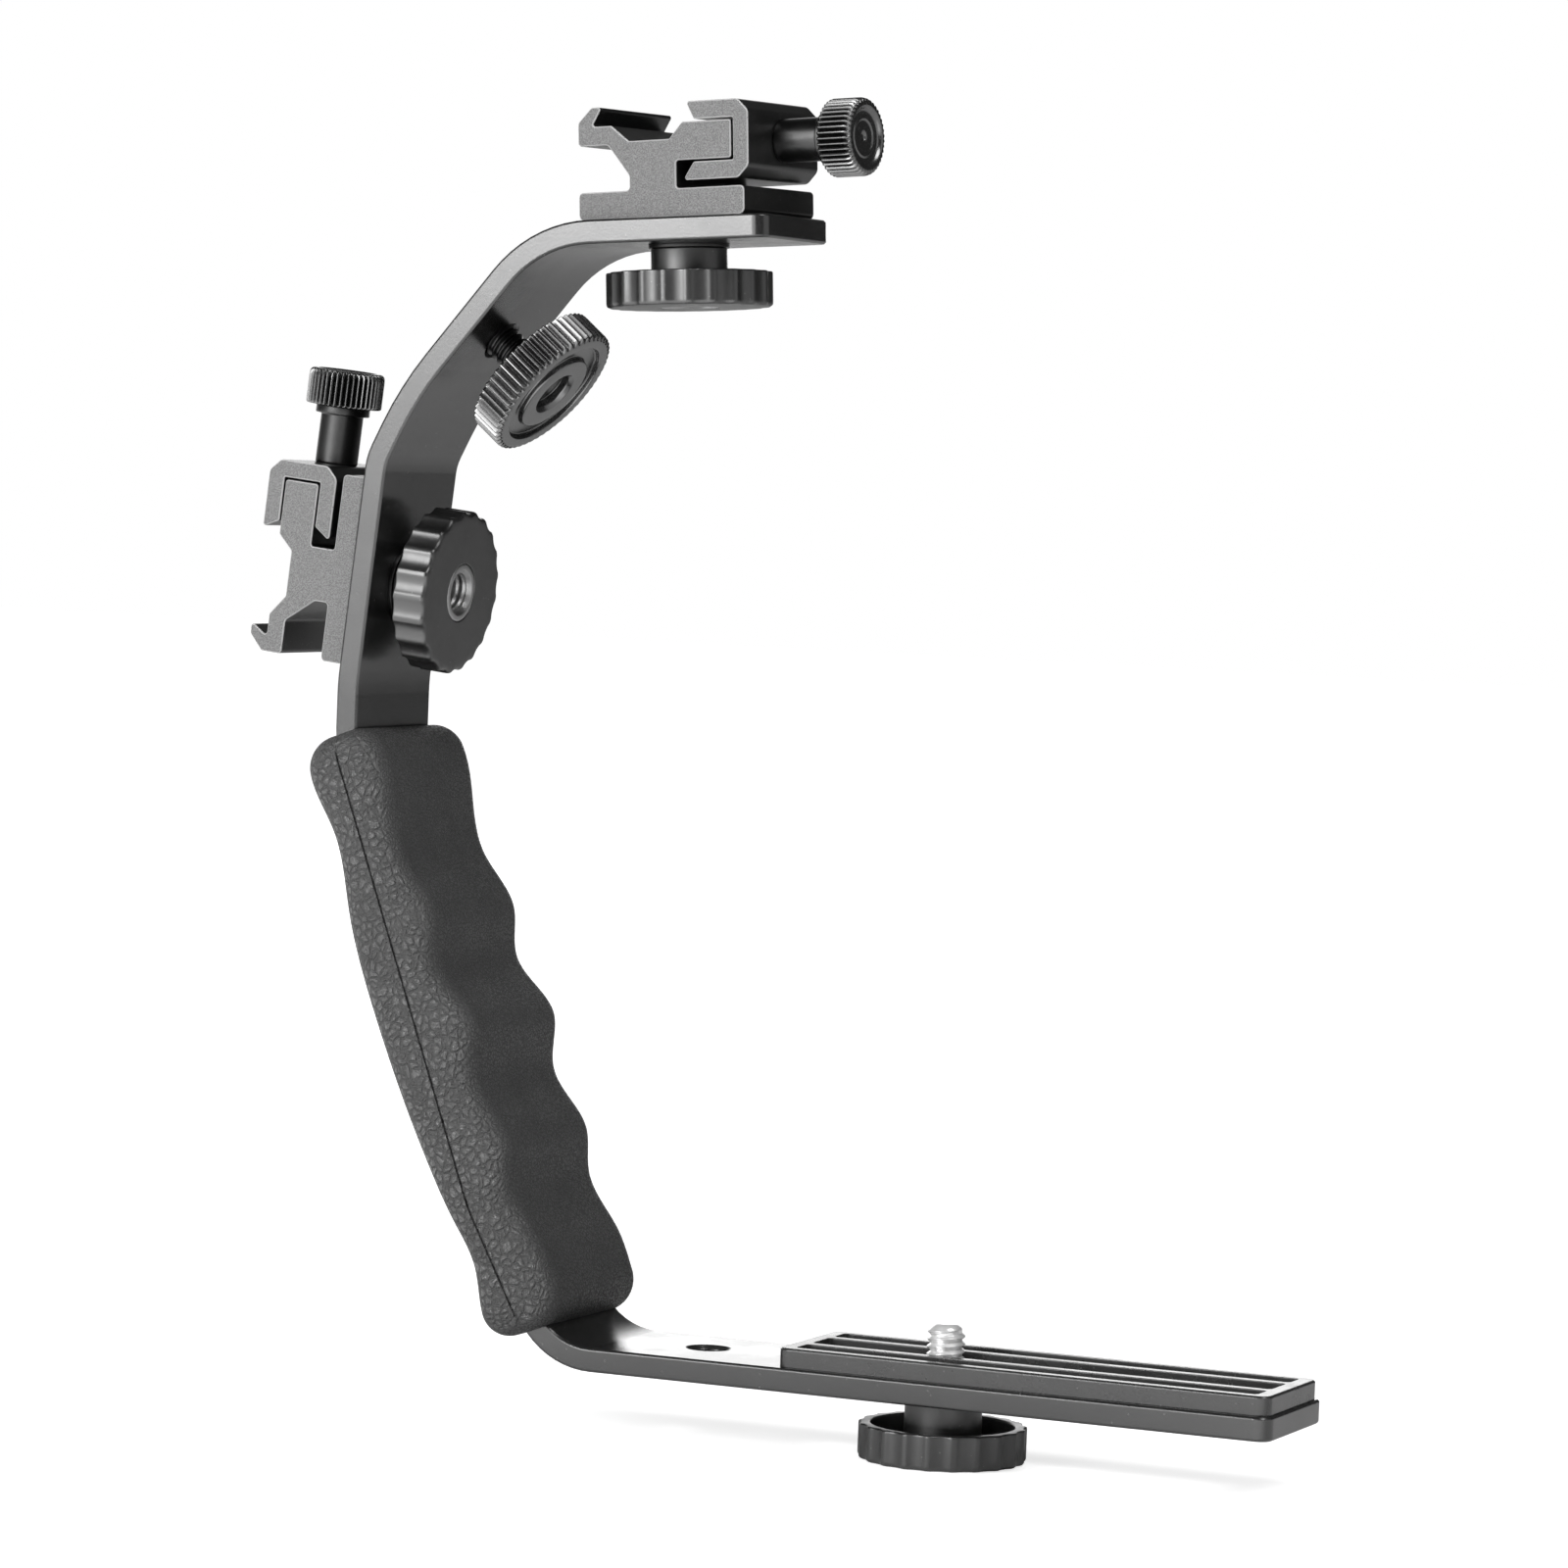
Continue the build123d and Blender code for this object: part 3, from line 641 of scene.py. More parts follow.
@dataclass(frozen=True)
class Seat:
    """A place on the bar, in millimetres: x runs along the seat and z stands out of it."""

    origin: Triple
    along: Triple
    out: Triple

    def matrix(self) -> Matrix:
        """The step from the seat's millimetres to the frame's metres."""
        along, out = Vector(self.along), Vector(self.out)
        turn = Matrix((along, out.cross(along), out)).transposed().to_4x4()
        return Matrix.Translation(Vector(self.origin) * MM) @ turn @ Matrix.Scale(MM, 4)

    def point(self, along: float, out: float) -> Triple:
        """A point of the seat's middle plane, in millimetres of the frame."""
        return tuple(Vector(self.origin) + Vector(self.along) * along + Vector(self.out) * out)

    def facing(self, depth: float) -> "Seat":
        """The seat on the bar's other face, that depth below, turned the other way."""
        return Seat(self.point(0.0, -depth), self.along, tuple(-v for v in self.out))

    def across(self, along: float, out: float) -> "Seat":
        """A seat whose z runs along this one's x, at a place over it."""
        spare = Vector(self.out).cross(Vector(self.along))
        return Seat(self.point(along, out), tuple(spare), self.along)


@dataclass(frozen=True)
class Corner:
    """A corner of a turned outline, in millimetres.

    Attributes:
        radius: distance from the axis.
        height: distance along the axis.
        soft: how far along both sides the corner is rounded.
        cut: how deep the ribs or flutes go here.
    """

    radius: float
    height: float
    soft: float = 0.0
    cut: float = 0.0

    def vector(self) -> Vector:
        """The corner as radius, height and depth of cut."""
        return Vector((self.radius, self.height, self.cut))


@dataclass(frozen=True)
class Lathe:
    """Turns an outline round a seat's axis into a mesh.

    Attributes:
        steps: points round the axis.
        pattern: share of the cut at an angle, or None for a plain piece.
        soft_steps: points along a rounded corner.
    """

    steps: int = 72
    pattern: Pattern | None = None
    soft_steps: int = 5

    def soften(self, corners: Sequence[Corner], loop: bool) -> list[Vector]:
        """Round the corners of an outline.

        Args:
            corners: the outline.
            loop: whether the last corner meets the first.

        Returns:
            The rings as radius, height and depth of cut.
        """
        rings = []
        last = len(corners) - 1
        for index, corner in enumerate(corners):
            here = corner.vector()
            if not corner.soft or (not loop and index in (0, last)):
                rings.append(here)
                continue
            ends = []
            for neighbour in (corners[index - 1], corners[(index + 1) % len(corners)]):
                other = neighbour.vector()
                reach = (other - here).xy.length
                ends.append(here.lerp(other, min(corner.soft, CORNER_ROOM * reach) / reach))
            for step in range(self.soft_steps + 1):
                share = step / self.soft_steps
                rings.append(ends[0].lerp(here, share).lerp(here.lerp(ends[1], share), share))
        return rings

    def turn(self, outline: Outline, mesh: bmesh.types.BMesh, loop: bool = False) -> None:
        """Turn an outline into faces.

        Args:
            outline: rows of a Corner, going round the metal clockwise as radius over height.
            mesh: the mesh that takes the faces.
            loop: whether the outline closes on itself, as on a ring.
        """
        angles = [FULL_TURN * step / self.steps for step in range(self.steps)]
        shares = [self.pattern(a) if self.pattern else 0.0 for a in angles]
        rows = []
        for radius, height, cut in self.soften([Corner(*row) for row in outline], loop):
            if radius < POINT_RADIUS:
                rows.append([mesh.verts.new((0.0, 0.0, height))])
                continue
            rows.append([
                mesh.verts.new(((radius - cut * share) * math.cos(angle),
                                (radius - cut * share) * math.sin(angle), height))
                for angle, share in zip(angles, shares)
            ])
        pairs = list(zip(rows, rows[1:])) + ([(rows[-1], rows[0])] if loop else [])
        for low, high in pairs:
            for index in range(self.steps):
                after = (index + 1) % self.steps
                if len(low) == 1:
                    mesh.faces.new((low[0], high[after], high[index]))
                elif len(high) == 1:
                    mesh.faces.new((low[index], low[after], high[0]))
                else:
                    mesh.faces.new((low[index], low[after], high[after], high[index]))


@dataclass(frozen=True)
class Thread:
    """A helical ridge, in millimetres.

    Attributes:
        root: radius at its foot.
        crest: radius at its top; smaller than the root inside a bore.
        pitch: rise in one turn.
        low: where it starts along the axis.
        high: where it ends.
        steps: points in one turn.
    """

    root: float
    crest: float
    pitch: float
    low: float
    high: float
    steps: int = 48

    def wind(self, mesh: bmesh.types.BMesh) -> None:
        """Wind the ridge into a mesh, running out to nothing at both ends.

        Args:
            mesh: the mesh that takes the faces.
        """
        count = int((self.high - self.low) / self.pitch * self.steps)
        foot = self.pitch * THREAD_FOOT
        rows = []
        for step in range(count + 1):
            angle = FULL_TURN * step / self.steps
            middle = self.low + self.pitch * step / self.steps
            grown = min(1.0, min(step, count - step) / (self.steps * THREAD_RUNOUT))
            row = []
            for offset, share in THREAD_SECTION:
                radius = self.root + (self.crest - self.root) * share * grown
                height = middle + offset * foot * grown
                row.append(mesh.verts.new((radius * math.cos(angle),
                                           radius * math.sin(angle), height)))
            rows.append(row)
        for first, second in zip(rows, rows[1:]):
            for index in range(len(THREAD_SECTION) - 1):
                mesh.faces.new((first[index], second[index],
                                second[index + 1], first[index + 1]))


def ribs(count: int, sharpness: float) -> Pattern:
    """Even ribs round an axis.

    Args:
        count: how many there are.
        sharpness: over 1 the grooves are narrower than the ribs.

    Returns:
        The share of the cut at an angle.
    """
    def share(angle: float) -> float:
        return (0.5 + 0.5 * math.cos(count * angle)) ** sharpness
    return share


def flutes(count: int, rim: float, radius: float, depth: float) -> Pattern:
    """Scallops cut by a round tool into a rim.

    Args:
        count: how many there are.
        rim: radius of the rim.
        radius: radius of the tool.
        depth: depth of a scallop.

    Returns:
        The share of the depth at an angle.
    """
    centre = rim + radius - depth
    spacing = FULL_TURN / count

    def share(angle: float) -> float:
        nearest = (angle + spacing / 2) % spacing - spacing / 2
        inside = radius ** 2 - (centre * math.sin(nearest)) ** 2
        if inside <= 0:
            return 0.0
        surface = centre * math.cos(nearest) - math.sqrt(inside)
        return max(0.0, (rim - surface) / depth)
    return share


# Pieces that take a node's place


def stood(name: str, mesh: bmesh.types.BMesh, seat: Seat) -> bpy.types.Object:
    """Turn a filled mesh into an object of the frame, and free the mesh.

    Args:
        name: the object's name.
        mesh: the mesh, in the seat's millimetres.
        seat: where it stands.

    Returns:
        The object.
    """
    mesh.transform(seat.matrix())
    bmesh.ops.recalc_face_normals(mesh, faces=mesh.faces)
    data = bpy.data.meshes.new(name)
    mesh.to_mesh(data)
    mesh.free()
    return placed(name, data)


def bake(made: bpy.types.Object) -> None:
    """Swap an object's mesh for the one that its modifiers give, and drop them.

    Args:
        made: the object.
    """
    graph = bpy.context.evaluated_depsgraph_get()
    data = bpy.data.meshes.new_from_object(made.evaluated_get(graph))
    made.modifiers.clear()
    made.data = data


@dataclass(frozen=True)
class Bore:
    """A round hole, in a seat's millimetres, with its mouth at the seat's origin.

    Attributes:
        seat: the mouth, its z running out of the hole.
        radius: radius of the hole.
        depth: how deep it goes.
        mouth: how far its mouth is opened at 45 degrees.
        spare: how far the cutter stands out of the mouth.
    """

    seat: Seat
    radius: float
    depth: float
    mouth: float = 0.0
    spare: float = 1.0

    def cut(self, made: bpy.types.Object) -> None:
        """Cut the hole into an object.

        Args:
            made: the object, placed in the frame.
        """
        wide = self.radius + self.mouth
        opened = [(wide, 0.0), (wide + self.spare, self.spare)]
        outline = [(0.0, -self.depth), (self.radius, -self.depth), (self.radius, -self.mouth),
                   *(opened if self.mouth else [(wide, self.spare)]), (0.0, self.spare)]
        mesh = bmesh.new()
        Lathe(64).turn(outline, mesh)
        cutter = stood("cutter", mesh, self.seat)
        taken = made.modifiers.new("bore", "BOOLEAN")
        taken.operation = "DIFFERENCE"
        taken.solver = "EXACT"
        taken.object = cutter
        bake(made)
        data = cutter.data
        bpy.data.objects.remove(cutter)
        bpy.data.meshes.remove(data)


class Piece:
    """A mesh that is filled in a seat's millimetres and then takes a node's place."""

    def __init__(self, name: str) -> None:
        """Start an empty piece of that name."""
        self.name = name
        self.mesh = bmesh.new()

    def seat(self, seat: Seat, node: str, body: str, slot: Slot, material: bpy.types.Material,
             bores: Sequence[Bore] = ()) -> None:
        """Place the mesh on its seat instead of a node of the frame.

        Args:
            seat: where the piece stands.
            node: the node that it replaces.
            body: the body that it rides on.
            slot: the record's slot of its finish; not used.
            material: the finish.
            bores: holes that are cut into the piece.
        """
        bmesh.ops.remove_doubles(self.mesh, verts=self.mesh.verts, dist=WELD_DISTANCE)
        made = stood(self.name, self.mesh, seat)
        for bore in bores:
            bore.cut(made)
        made.data.shade_smooth()
        made.data.set_sharp_from_angle(angle=CREASE_ANGLE)
        made.data.materials.clear()
        made.data.materials.append(material)
        even = made.modifiers.new("even_faces", "WEIGHTED_NORMAL")
        even.keep_sharp = True
        bake(made)
        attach(made, body)
        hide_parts(node)
        log.info("%s: %d faces on %s", self.name, len(made.data.polygons), body)


@dataclass(frozen=True)
class Turned:
    """A turned piece.

    Attributes:
        node: the node that it replaces.
        kind: the last word of its name.
        body: the body that it rides on.
        slot: the record's slot of its finish.
        outline: its corners.
        threads: the threads on it.
        look: its own finish, where it isn't the slot's.
        lathe: what turns it.
        loop: whether its outline closes on itself.
    """

    node: str
    kind: str
    body: str
    slot: Slot
    outline: Outline
    threads: Sequence[Thread] = ()
    look: Look | None = None
    lathe: Lathe = Lathe()
    loop: bool = False

    def build(self, seat: Seat, finishes: Finishes) -> None:
        """Make the piece.

        Args:
            seat: where it stands.
            finishes: the bracket's materials.
        """
        piece = Piece(f"{self.node}_{self.kind}")
        self.lathe.turn(self.outline, piece.mesh, self.loop)
        for thread in self.threads:
            thread.wind(piece.mesh)
        piece.seat(seat, self.node, self.body, self.slot,
                   finishes.materials[self.look or self.slot])


@dataclass(frozen=True)
class Profile:
    """A drawn profile with rounded corners and its sawn ends slightly eased.

    Attributes:
        bends: the corners in either direction, each as along, out and radius.
        half: half the length of the piece, across the seat.
        eased: how much the sawn edges are broken.
        steps: points round a right angle.
    """

    bends: Sequence[Triple]
    half: float
    eased: float = 0.18
    steps: int = 8

    def rim(self) -> list[tuple[Vector, Vector]]:
        """Round the corners.

        Returns:
            The points of the outline, each with the direction that points out of the metal.
        """
        points = [Vector((along, out)) for along, out, _ in self.bends]
        radii = [radius for _, _, radius in self.bends]
        area = sum(a.cross(b) for a, b in zip(points, points[1:] + points[:1]))
        if area < 0:
            points.reverse()
            radii.reverse()
        rim = []
        for index, (here, radius) in enumerate(zip(points, radii)):
            before = points[index - 1]
            after = points[(index + 1) % len(points)]
            arrive, leave = (here - before).normalized(), (after - here).normalized()
            turn = math.atan2(arrive.cross(leave), arrive.dot(leave))
            room = CORNER_ROOM * min((here - before).length, (after - here).length)
            slope = math.tan(abs(turn) / 2)
            radius = min(radius, room / slope)
            bulge = radius if turn > 0 else -radius
            outward = Vector((arrive.y, -arrive.x))
            centre = here - arrive * radius * slope - outward * bulge
            count = max(2, round(self.steps * abs(turn) / (math.pi / 2)))
            for step in range(count + 1):
                facing = outward.copy()
                facing.rotate(Matrix.Rotation(turn * step / count, 2))
                rim.append((centre + facing * bulge, facing))
        return rim

    def draw(self, mesh: bmesh.types.BMesh) -> None:
        """Draw the profile out into faces.

        Args:
            mesh: the mesh that takes them, in the seat's millimetres.
        """
        rim = self.rim()
        rows = []
        for place, inset in ((-self.half, self.eased), (-self.half + self.eased, 0.0),
                             (self.half - self.eased, 0.0), (self.half, self.eased)):
            rows.append([mesh.verts.new((spot.x - facing.x * inset, place,
                                         spot.y - facing.y * inset))
                         for spot, facing in rim])
        for low, high in zip(rows, rows[1:]):
            for index in range(len(rim)):
                after = (index + 1) % len(rim)
                mesh.faces.new((low[index], low[after], high[after], high[index]))
        mesh.faces.new(rows[0])
        mesh.faces.new(list(reversed(rows[-1])))


# The bracket's hardware, in millimetres

LEG_SEATS = {
    Side.TOP: Seat((-11.4907, 0.0, 192.7134), (0.992023, -0.113203, 0.055463),
                   (-0.055822, 0.0, 0.998441)),
    Side.SIDE: Seat((-65.9588, 0.0, 130.2321), (0.102793, 0.0, 0.994703),
                    (-0.994703, 0.0, 0.102793)),
}
KNOB_SEAT = Seat((-45.5683, 0.0, 171.8095), (0.642788, 0.0, 0.766044), (0.766044, 0.0, -0.642788))
CAMERA_SEAT = Seat((43.0, 0.0, 0.0), (1.0, 0.0, 0.0), (0.0, 0.0, -1.0))
BAR_THICKNESS = 4.0
STUD_SETBACK = 14.45  # from a shoe's left edge to its stud
SCREW_HEIGHT = 12.45  # of a thumbscrew's axis over the shoe's seat
WEB_END = 32.9
FIT = 0.02
FLAT_END = 0.0001  # how far the middle of a flat end is moved along the axis
SUNK = 0.03  # how far a thread's foot lies in its shaft
RIB_STEPS = 9
FLUTE_STEPS = 18
QUARTER_INCH = 3.175
QUARTER_PITCH = 1.27
QUARTER_ROOT = 2.62


def quarter_thread(low: float, high: float) -> Thread:
    """The outer thread of a 1/4-20 screw between two heights."""
    return Thread(QUARTER_ROOT - SUNK, QUARTER_INCH, QUARTER_PITCH, low, high)


@dataclass(frozen=True)
class Fastener:
    """Pieces that are turned round the axis of one seat.

    Attributes:
        seat: where they stand.
        body: the body that the outer one rides on.
    """

    seat: Seat
    body: str

    def parts(self) -> tuple[Turned, ...]:
        """The pieces."""
        raise NotImplementedError

    def build(self, finishes: Finishes) -> None:
        """Make every piece.

        Args:
            finishes: the bracket's materials.
        """
        for part in self.parts():
            part.build(self.seat, finishes)


@dataclass(frozen=True)
class HandWheel(Fastener):
    """Scalloped wheel with its cup open toward the bar, and its threaded metal core.

    Its heights run away from the bar.
    """

    core_node: str
    stud_reach: float
    core_look: Look | None = Look.INSERT
    rim: float = 14.0
    wall: float = 2.0
    start: float = 4.6
    floor: float = 8.1
    end: float = 10.5
    hub: float = 6.4
    hub_start: float = 0.6
    insert: float = 5.0
    insert_start: float = 3.1
    bore: float = 3.225
    bore_depth: float = 5.6
    bore_lip: float = 0.7
    flute_count: int = 21
    flute_radius: float = 3.8
    flute_depth: float = 0.5

    def parts(self) -> tuple[Turned, ...]:
        """The plastic wheel, and the metal core with its stud, its insert and its bore."""
        rim, cut, start, end = self.rim, self.flute_depth, self.start, self.end
        inner, hub, hole = rim - self.wall, self.hub, QUARTER_INCH + FIT
        pocket, shoulder = self.insert + FIT, self.insert_start
        wheel = (
            (pocket, end, 0.12), (rim - 1.5, end, 0.1, cut * 0.4), (rim, end - 0.02, 0.75, cut),
            (rim, start, 0.35, cut), (inner, start, 0.35), (inner - 0.1, self.floor, 0.6),
            (hub + 0.1, self.floor, 0.6), (hub, self.hub_start, 0.3), (hole, self.hub_start, 0.1),
            (hole, shoulder), (pocket, shoulder),
        )
        tip, bore, bottom = -self.stud_reach, self.bore, end - self.bore_depth
        core = (
            (0.0, tip), (QUARTER_ROOT - 0.8, tip, 0.5), (QUARTER_ROOT, tip + 0.7, 0.3),
            (QUARTER_ROOT, shoulder - 0.6), (QUARTER_INCH, shoulder - 0.5),
            (QUARTER_INCH, shoulder), (self.insert, shoulder), (self.insert, end, 0.4),
            (bore + self.bore_lip, end, 0.12), (bore, end - self.bore_lip, 0.12), (bore, bottom),
            (0.0, bottom - FLAT_END),
        )
        inside = Thread(bore + 0.02, bore - 0.3, QUARTER_PITCH, bottom + 0.6, end - 0.95)
        flute = flutes(self.flute_count, rim, self.flute_radius, cut)
        return (
            Turned(f"{self.body}_wheel", "fluted", self.body, Slot.KNOB, wheel, look=Look.WHEEL,
                   lathe=Lathe(self.flute_count * FLUTE_STEPS, flute), loop=True),
            Turned(self.core_node, "threaded", self.body, Slot.BRIGHT, core,
                   (quarter_thread(tip + 0.75, shoulder - 0.6), inside), self.core_look),
        )


@dataclass(frozen=True)
class Thumbscrew(Fastener):
    """Clamping screw of a shoe: a turned shaft, and the ribbed head pressed on it.

    Its heights run from the stud's axis outward, along the screw.
    """

    tip: float = 22.1
    shank_end: float = 41.4
    head_start: float = 42.8
    head_end: float = 49.0
    thread: float = 2.0
    thread_depth: float = 0.36
    thread_pitch: float = 0.7
    thread_steps: int = 32
    shank: float = 3.65
    collar: float = 4.65
    head: float = 6.5
    spigot: float = 2.6
    spigot_length: float = 3.6
    rib_count: int = 42
    rib_depth: float = 0.6
    rib_sharpness: float = 1.1

    def parts(self) -> tuple[Turned, ...]:
        """The head with its dish, ring and dimple, and the shaft with its shank and collar."""
        cut, start, end = self.rib_depth, self.head_start, self.head_end
        top, pocket = start + self.spigot_length, self.spigot + FIT
        head = (
            (0.0, end - 1.1), (0.55, end - 1.1, 0.2), (1.0, end - 0.72, 0.25),
            (2.7, end - 0.78, 0.3), (2.95, end - 0.58, 0.2), (3.3, end - 0.58, 0.2),
            (3.55, end - 0.74, 0.2), (4.45, end - 0.66, 0.3), (5.0, end - 0.04, 0.4),
            (5.55, end, 0.3, cut * 0.1), (6.3, end - 0.25, 0.5, cut * 0.6),
            (self.head, end - 1.0, 0.4, cut), (self.head, start + 0.05, 0.4, cut),
            (5.6, start, 0.2), (pocket, start), (pocket, top), (0.0, top),
        )
        tip, root = self.tip, self.thread - self.thread_depth
        shaft = (
            (0.0, tip), (root - 0.3, tip, 0.1), (root, tip + 0.4, 0.1), (root, WEB_END - 0.25),
            (self.thread, WEB_END - 0.2), (self.thread, WEB_END), (self.shank, WEB_END, 0.35),
            (self.shank, self.shank_end, 0.15), (self.collar, self.shank_end, 0.25),
            (self.collar, start, 0.2), (self.spigot, start), (self.spigot, top), (0.0, top),
        )
        thread = Thread(root - 0.02, self.thread, self.thread_pitch, tip + 0.6, WEB_END - 0.3,
                        self.thread_steps)
        ribbed = Lathe(self.rib_count * RIB_STEPS, ribs(self.rib_count, self.rib_sharpness))
        return (
            Turned(f"{self.body}_head", "ribbed", self.body, Slot.KNOB, head, look=Look.RIBBED,
                   lathe=ribbed),
            Turned(f"{self.body}_shaft", "turned", self.body, Slot.BLACKENED, shaft, (thread,)),
        )


@dataclass(frozen=True)
class AccessoryKnob(Fastener):
    """Ribbed disc on a long screw through the inclined leg, heights away from the bar."""

    screw_body: str
    radius: float = 12.95
    start: float = 7.3
    end: float = 13.6
    hub: float = 5.2
    hub_start: float = 6.3
    ring_inner: float = 7.3
    ring_outer: float = 10.2
    ring_depth: float = 1.1
    ring_slope: float = 0.15
    eye: float = 3.6
    eye_depth: float = 2.0
    screw_end: float = 10.9
    screw_tip: float = -6.5
    rib_count: int = 56
    rib_depth: float = 0.85
    rib_sharpness: float = 0.7

    def parts(self) -> tuple[Turned, ...]:
        """The disc with its eye and its ring, and the long threaded screw."""
        cut, start, end, eye = self.rib_depth, self.start, self.end, self.eye
        radius, hub, hole = self.radius, self.hub, QUARTER_INCH + FIT
        inner, outer, slope = self.ring_inner, self.ring_outer, self.ring_slope
        eye_floor, ring_floor = end - self.eye_depth, end - self.ring_depth
        tip, top = self.screw_tip, self.screw_end
        disc = (
            (0.0, eye_floor), (eye - 0.1, eye_floor, 0.2), (eye, end - 0.7, 0.2),
            (eye + 0.7, end, 0.15), (inner, end, 0.35), (inner + slope, ring_floor, 0.35),
            (outer - slope, ring_floor, 0.35), (outer, end, 0.35),
            (radius - 1.0, end, 0.3, cut * 0.15), (radius, end - 0.45, 0.4, cut),
            (radius, start + 0.1, 0.3, cut), (radius - 0.9, start, 0.3), (hub, start, 0.2),
            (hub, self.hub_start, 0.2), (hole, self.hub_start), (hole, top), (0.0, top),
        )
        screw = (
            (0.0, tip), (QUARTER_ROOT - 0.2, tip, 0.1), (QUARTER_ROOT, tip + 0.35, 0.1),
            (QUARTER_ROOT, top - 0.4), (QUARTER_INCH, top - 0.3), (QUARTER_INCH, top),
            (0.0, top + FLAT_END),
        )
        ribbed = Lathe(self.rib_count * RIB_STEPS, ribs(self.rib_count, self.rib_sharpness))
        return (
            Turned(f"{self.body}_head", "ribbed", self.body, Slot.KNOB, disc, look=Look.RIBBED,
                   lathe=ribbed),
            Turned(f"{self.body}_screw", "threaded", self.screw_body, Slot.BLACKENED, screw,
                   (quarter_thread(tip + 0.75, top - 0.6),)),
        )


@dataclass(frozen=True)
class Shoe:
    """Drawn shoe body and the hooked jaw that slides round its arm.

    Along the seat its corners are counted from the body's left edge.
    """

    seat: Seat
    side: str
    half: float = 11.5
    arm_end: float = 29.6
    stud_radius: float = 3.225
    stud_depth: float = 6.4
    stud_mouth: float = 0.7
    clamp_radius: float = 2.05
    clamp_depth: float = 9.0
    web_radius: float = 2.08
    web_spare: float = 0.6
    body_bends: tuple[Triple, ...] = (
        (0.0, 0.0, 1.1), (32.0, 0.0, 1.0), (32.0, 4.7, 0.8), (19.0, 4.7, 0.5), (19.0, 9.3, 0.5),
        (29.6, 9.3, 0.5), (29.6, 15.6, 0.5), (20.2, 15.6, 0.7), (17.7, 12.9, 0.6),
        (9.9, 12.9, 0.6), (6.5, 15.6, 0.6), (2.65, 15.6, 0.4), (4.7, 18.8, 0.45),
        (2.65, 18.8, 1.0), (0.0, 16.3, 0.9), (0.0, 12.4, 0.7), (5.8, 12.4, 0.9),
        (9.9, 7.2, 0.9), (9.9, 4.7, 0.7), (0.0, 4.7, 0.8),
    )
    jaw_bends: tuple[Triple, ...] = (
        (22.5, 15.95, 0.4), (21.0, 18.95, 0.45), (30.9, 18.95, 1.4), (32.9, 16.95, 1.4),
        (32.9, 7.95, 1.4), (30.9, 5.95, 1.4), (20.3, 5.95, 0.45), (22.4, 8.95, 0.5),
        (30.0, 8.95, 0.3), (30.0, 15.95, 0.3),
    )

    def build(self, finishes: Finishes) -> None:
        """Make the body and the jaw.

        Args:
            finishes: the bracket's materials.
        """
        arm, web = (self.seat.across(end - STUD_SETBACK, SCREW_HEIGHT)
                    for end in (self.arm_end, WEB_END))
        stud = Bore(self.seat.facing(0.0), self.stud_radius, self.stud_depth, self.stud_mouth)
        clamp = Bore(arm, self.clamp_radius, self.clamp_depth)
        passage = Bore(web, self.web_radius, WEB_END - self.arm_end + self.web_spare)
        for bends, node, body, bores in (
                (self.body_bends, f"{self.side}_shoe_body", f"{self.side}_shoe", (stud, clamp)),
                (self.jaw_bends, f"{self.side}_shoe_jaw", f"{self.side}_jaw", (passage,))):
            piece = Piece(f"{node}_drawn")
            moved = [(along - STUD_SETBACK, out, radius) for along, out, radius in bends]
            Profile(moved, self.half).draw(piece.mesh)
            piece.seat(self.seat, node, body, Slot.SHOE, finishes.materials[Slot.SHOE], bores)


class Hardware:
    """Every turned and moulded fastener of the bracket, and its two shoes."""

    def __init__(self) -> None:
        """List them."""
        legs = [(side.value, seat) for side, seat in LEG_SEATS.items()]
        self.items: list[Fastener | Shoe] = [
            HandWheel(CAMERA_SEAT, "camera_knob", "camera_screw", 12.1, core_look=None),
            *(HandWheel(seat.facing(BAR_THICKNESS), f"{leg}_knob", f"{leg}_knob_stud", 9.0)
              for leg, seat in legs),
            *(Thumbscrew(seat.across(-STUD_SETBACK, SCREW_HEIGHT), f"{leg}_thumbscrew")
              for leg, seat in legs),
            *(Shoe(seat, leg) for leg, seat in legs),
            AccessoryKnob(KNOB_SEAT, "accessory_knob", "accessory_screw"),
        ]

    def build(self, finishes: Finishes) -> None:
        """Make every fastener and both shoes."""
        for item in self.items:
            item.build(finishes)


# Studio


@dataclass(frozen=True)
class PhotoCamera:
    """The photograph's viewpoint: where it stands and how it is turned, in degrees."""

    place: Triple = (0.423715, -0.941354, 0.153368)
    heading: float = 23.732
    dip: float = 2.995
    roll: float = 2.218
    lens: float = 141.85
    sensor: float = 36.0
    clip: Pair = (0.05, 50.0)

    def build(self) -> None:
        """Make the camera and look through it."""
        heading, dip, roll = (math.radians(a) for a in (self.heading, self.dip, self.roll))
        ahead = Vector((-math.sin(heading) * math.cos(dip),
                        math.cos(heading) * math.cos(dip), -math.sin(dip)))
        level = Vector((math.cos(heading), math.sin(heading), 0.0))
        lifted = level.cross(ahead)
        right = level * math.cos(roll) + lifted * math.sin(roll)
        up = lifted * math.cos(roll) - level * math.sin(roll)
        data = bpy.data.cameras.new("photo_camera")
        data.sensor_width = self.sensor
        data.lens = self.lens
        data.clip_start, data.clip_end = self.clip
        camera = placed("photo_camera", data)
        camera.matrix_world = (Matrix.Translation(self.place)
                               @ Matrix((right, up, -ahead)).transposed().to_4x4())
        bpy.context.scene.camera = camera


